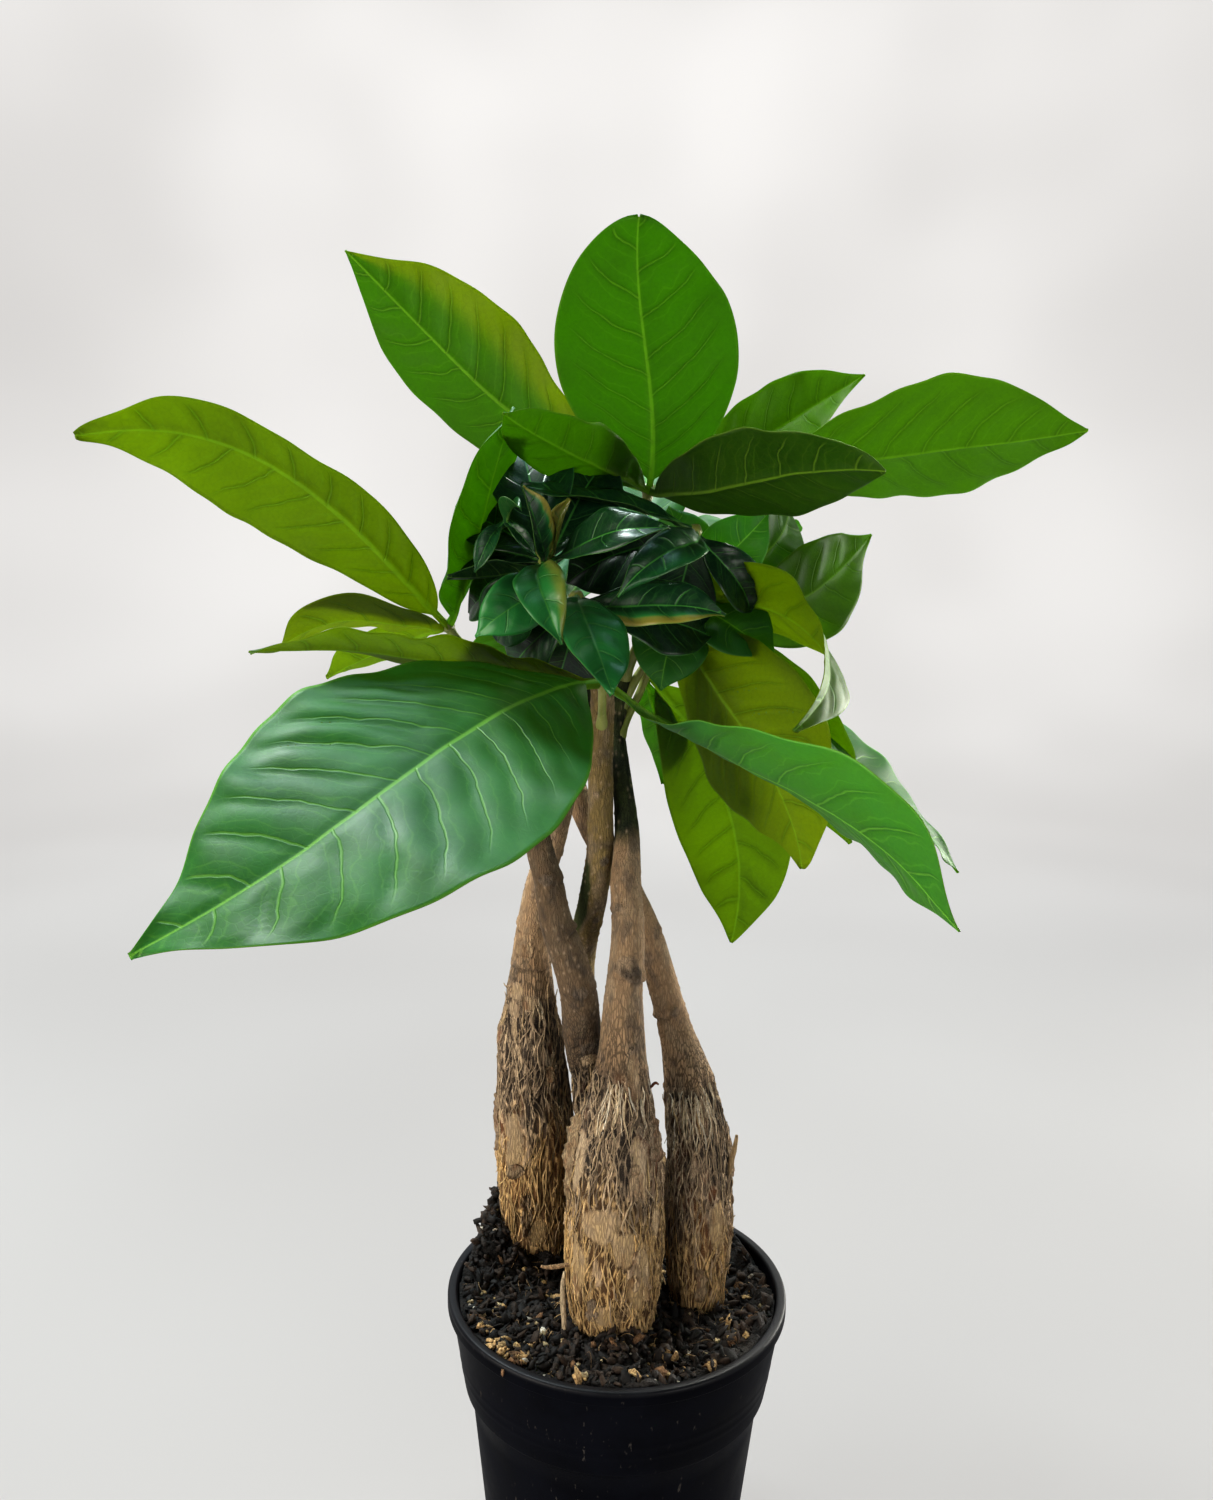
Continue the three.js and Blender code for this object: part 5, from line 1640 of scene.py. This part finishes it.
def add_stalk(shape, leaf, lines):
    """A leaf's stalk, thicker at its foot, and the hub at its head."""
    line = lines[leaf["trunk"]]
    x, y, radius = trunk_at(line, leaf["start"])
    foot, hub = np.array([x, y, leaf["start"]]), np.array(leaf["hub"], float)
    rise = np.linalg.norm(hub - foot) * STALK["rise"]
    middle = [lerp(foot, hub, 0.3) + (0, 0, 0.3 * rise), lerp(hub, foot, 0.3) - (0, 0, 0.3 * rise)]
    t = np.linspace(0, 1, STALK["steps"])
    path = bezier([foot, *middle, hub], t)
    away = np.linalg.norm(path - foot, axis=1)
    radii = lerp(STALK["foot"], STALK["radius"], smooth(t, 0, 0.5))
    radii = radii + STALK["joint"] * bump(away - radius, 2.2) + STALK["end"] * bump(t - 1, 0.07)
    shape.add(*tube(rings_along(path, radii, STALK["sides"])), slot=GREEN_STALK)
    size = STALK["hub"]
    shape.add(*ball(hub, (size, size, size), 3, 0.12, 12, 18), slot=GREEN_STALK)


def make_leaf(name, leaf, lines, materials, seed):
    shape = Shape(blade=2, veins=2, rib=2, yellow=1, dark=1)
    add_stalk(shape, leaf, lines)
    for k, entry in enumerate(leaf["leaflets"] + INNER.get(name, [])):
        add_leaflet(shape, leaf["hub"], entry, seed + 13 * k)
    if name == SHOOT["leaf"]:
        stem = bezier([np.array(point, float) for point in SHOOT["stem"]], np.linspace(0, 1, 16))
        shape.add(*tube(rings_along(stem, np.linspace(1.0, 0.6, 16), 10)), slot=GREEN_STALK)
        for k, entry in enumerate(SHOOT["leaflets"]):
            add_leaflet(shape, SHOOT["stem"][-1], entry, seed + 200 + 13 * k)
        add_leaflet(shape, leaf["hub"], BUD, seed + 300)
    slot = "young_leaf" if "young" in name else "leaf"
    side = name.removeprefix("leaf_")
    return shape.piece(f"{side}_leaf", materials, slot, [name])


# ------------------------------------------------------------------ room, lamps and camera

# The radii of the flat floor's rings, the radius by which it curves up into a wall all round,
# and the wall's height. The part of the wall that stands behind the plant, to this azimuth on
# each side of +Y, lights it. The paint has a colour, and glows a little.
STAGE = dict(flat=(0.5, 300, 900, 1500), bend=700, top=4200, sides=120, behind=66,
             colour=(0.045, 0.044, 0.043), rough=0.9, glow=0.56)
ROOM = dict(colour=(0.93, 0.95, 1.0, 1), strength=0.04, gamma=0.82)


def make_stage():
    """A plain pale floor that curves up into a plain pale wall all round."""
    floor, bend = STAGE["flat"][-1], STAGE["bend"]
    section = [(radius, 0.0) for radius in STAGE["flat"]]
    section += [(floor + bend * math.sin(a), bend - bend * math.cos(a))
                for a in np.radians(np.linspace(6, 90, 15))]
    section.append((floor + bend, STAGE["top"]))
    angle = full_turn(STAGE["sides"])
    points = np.array([(r * math.cos(a), r * math.sin(a), z) for r, z in section for a in angle])
    faces = grid_faces(len(section), STAGE["sides"], wrap=True)
    middle = points[faces].mean(axis=1)
    away = np.abs(np.degrees(np.arctan2(middle[:, 0], middle[:, 1])))
    front = (away > STAGE["behind"]) & (middle[:, 2] > 1)
    paint = plain_material("floor", STAGE["colour"], STAGE["rough"], STAGE["glow"])
    for name, chosen in (("floor", ~front), ("wall", front)):
        mesh = bpy.data.meshes.new(name)
        mesh.from_pydata((points * MM).tolist(), [], faces[chosen].tolist())
        mesh.shade_smooth()
        mesh.materials.append(paint)
        part = new_object(name, mesh)
        if name == "wall":
            part.visible_diffuse = part.visible_glossy = part.visible_transmission = False
            part.visible_shadow = False


# Each lamp: where it is, what it shines at, its width and height, its power in watts and
# its colour.
LAMPS = {
    "key": dict(place=(-560, 420, 1600), aim=(0, 0, 340), size=(260, 260), power=31,
                colour=(0.92, 0.99, 1.0)),
    "sky": dict(place=(12, 434, 1431), aim=(-40, -60, 300), size=(850, 700), power=11,
                colour=(0.55, 0.84, 1.0)),
    "back": dict(place=(480, 800, 1350), aim=(50, 0, 310), size=(400, 400), power=3.5,
                 colour=(1.0, 0.98, 0.90), spread=80),
    "low": dict(place=(900, 600, 290), aim=(50, 0, 310), size=(500, 500), power=3.5,
                colour=(1.0, 0.98, 0.90), spread=80),
    "wall": dict(place=(0, 0, 2700), aim=(0, 2200, 900), size=(3600, 500), power=105,
                 colour=(1.0, 1.0, 1.0), spread=80),
    "fill": dict(place=(-1050, -800, 430), aim=(0, 0, 190), size=(1100, 800), power=13.5,
                 colour=(1.0, 0.93, 0.84), spread=130),
    "side": dict(place=(900, -1000, 350), aim=(0, 0, 190), size=(900, 600), power=4.3,
                 colour=(1.0, 0.96, 0.92), spread=130),
}


def make_lamps():
    for name, lamp in LAMPS.items():
        light = bpy.data.lights.new(name, "AREA")
        light.shape = "RECTANGLE"
        light.size, light.size_y = (s * MM for s in lamp["size"])
        light.energy, light.color = lamp["power"], lamp["colour"]
        light.spread = math.radians(lamp.get("spread", 180))
        holder = new_object(name, light)
        place, aim = Vector(lamp["place"]), Vector(lamp["aim"])
        holder.location = place * MM
        holder.rotation_euler = (aim - place).to_track_quat("-Z", "Y").to_euler()
    world = bpy.data.worlds.new("room")
    world.use_nodes = True
    background = world.node_tree.nodes["Background"]
    background.inputs["Color"].default_value = ROOM["colour"]
    background.inputs["Strength"].default_value = ROOM["strength"]
    bpy.context.scene.world = world


def make_camera():
    """A camera that sees the object as the photograph does."""
    pitch, roll = (math.radians(CAMERA[k]) for k in ("pitch", "roll"))
    ahead = Vector((0, math.cos(pitch), -math.sin(pitch)))
    rise, right = Vector((0, math.sin(pitch), math.cos(pitch))), Vector((1, 0, 0))
    image_right = math.cos(roll) * right + math.sin(roll) * rise
    image_up = math.cos(roll) * rise - math.sin(roll) * right
    data = bpy.data.cameras.new("camera")
    data.sensor_fit = "VERTICAL"
    data.sensor_height = 36
    data.lens = data.sensor_height * CAMERA["focal_pixels"] / IMAGE[1]
    data.clip_start = CAMERA["near"] * MM
    camera = new_object("camera", data)
    turn = Matrix((image_right, image_up, -ahead)).transposed()
    camera.matrix_world = Matrix.Translation(Vector(CAMERA["place"]) * MM) @ turn.to_4x4()
    bpy.context.scene.camera = camera


# ------------------------------------------------------------------ the plant

make_camera()
make_lamps()
make_stage()
bpy.context.scene.view_settings.view_transform = "Standard"
bpy.context.scene.view_settings.gamma = ROOM["gamma"]

trunk_lines = {name: trunk_line(points) for name, points in TRUNKS.items()}
make_pot()
make_soil()
make_litter(trunk_lines)
make_fibres(trunk_lines)
trunk_look = bark_material()
for trunk, line in trunk_lines.items():
    make_trunk(trunk, line, trunk_look)

stalk = stalk_material()
sides = {name: leaf_material(name, **look) for name, look in LEAF_SIDES.items()}
mature = [sides["leaf top"], sides["leaf underside"], stalk]
young = [sides["young leaf top"], sides["young leaf underside"], stalk]
for number, (name, leaf) in enumerate(LEAVES.items()):
    make_leaf(name, leaf, trunk_lines, young if "young" in name else mature, 1000 * (number + 1))
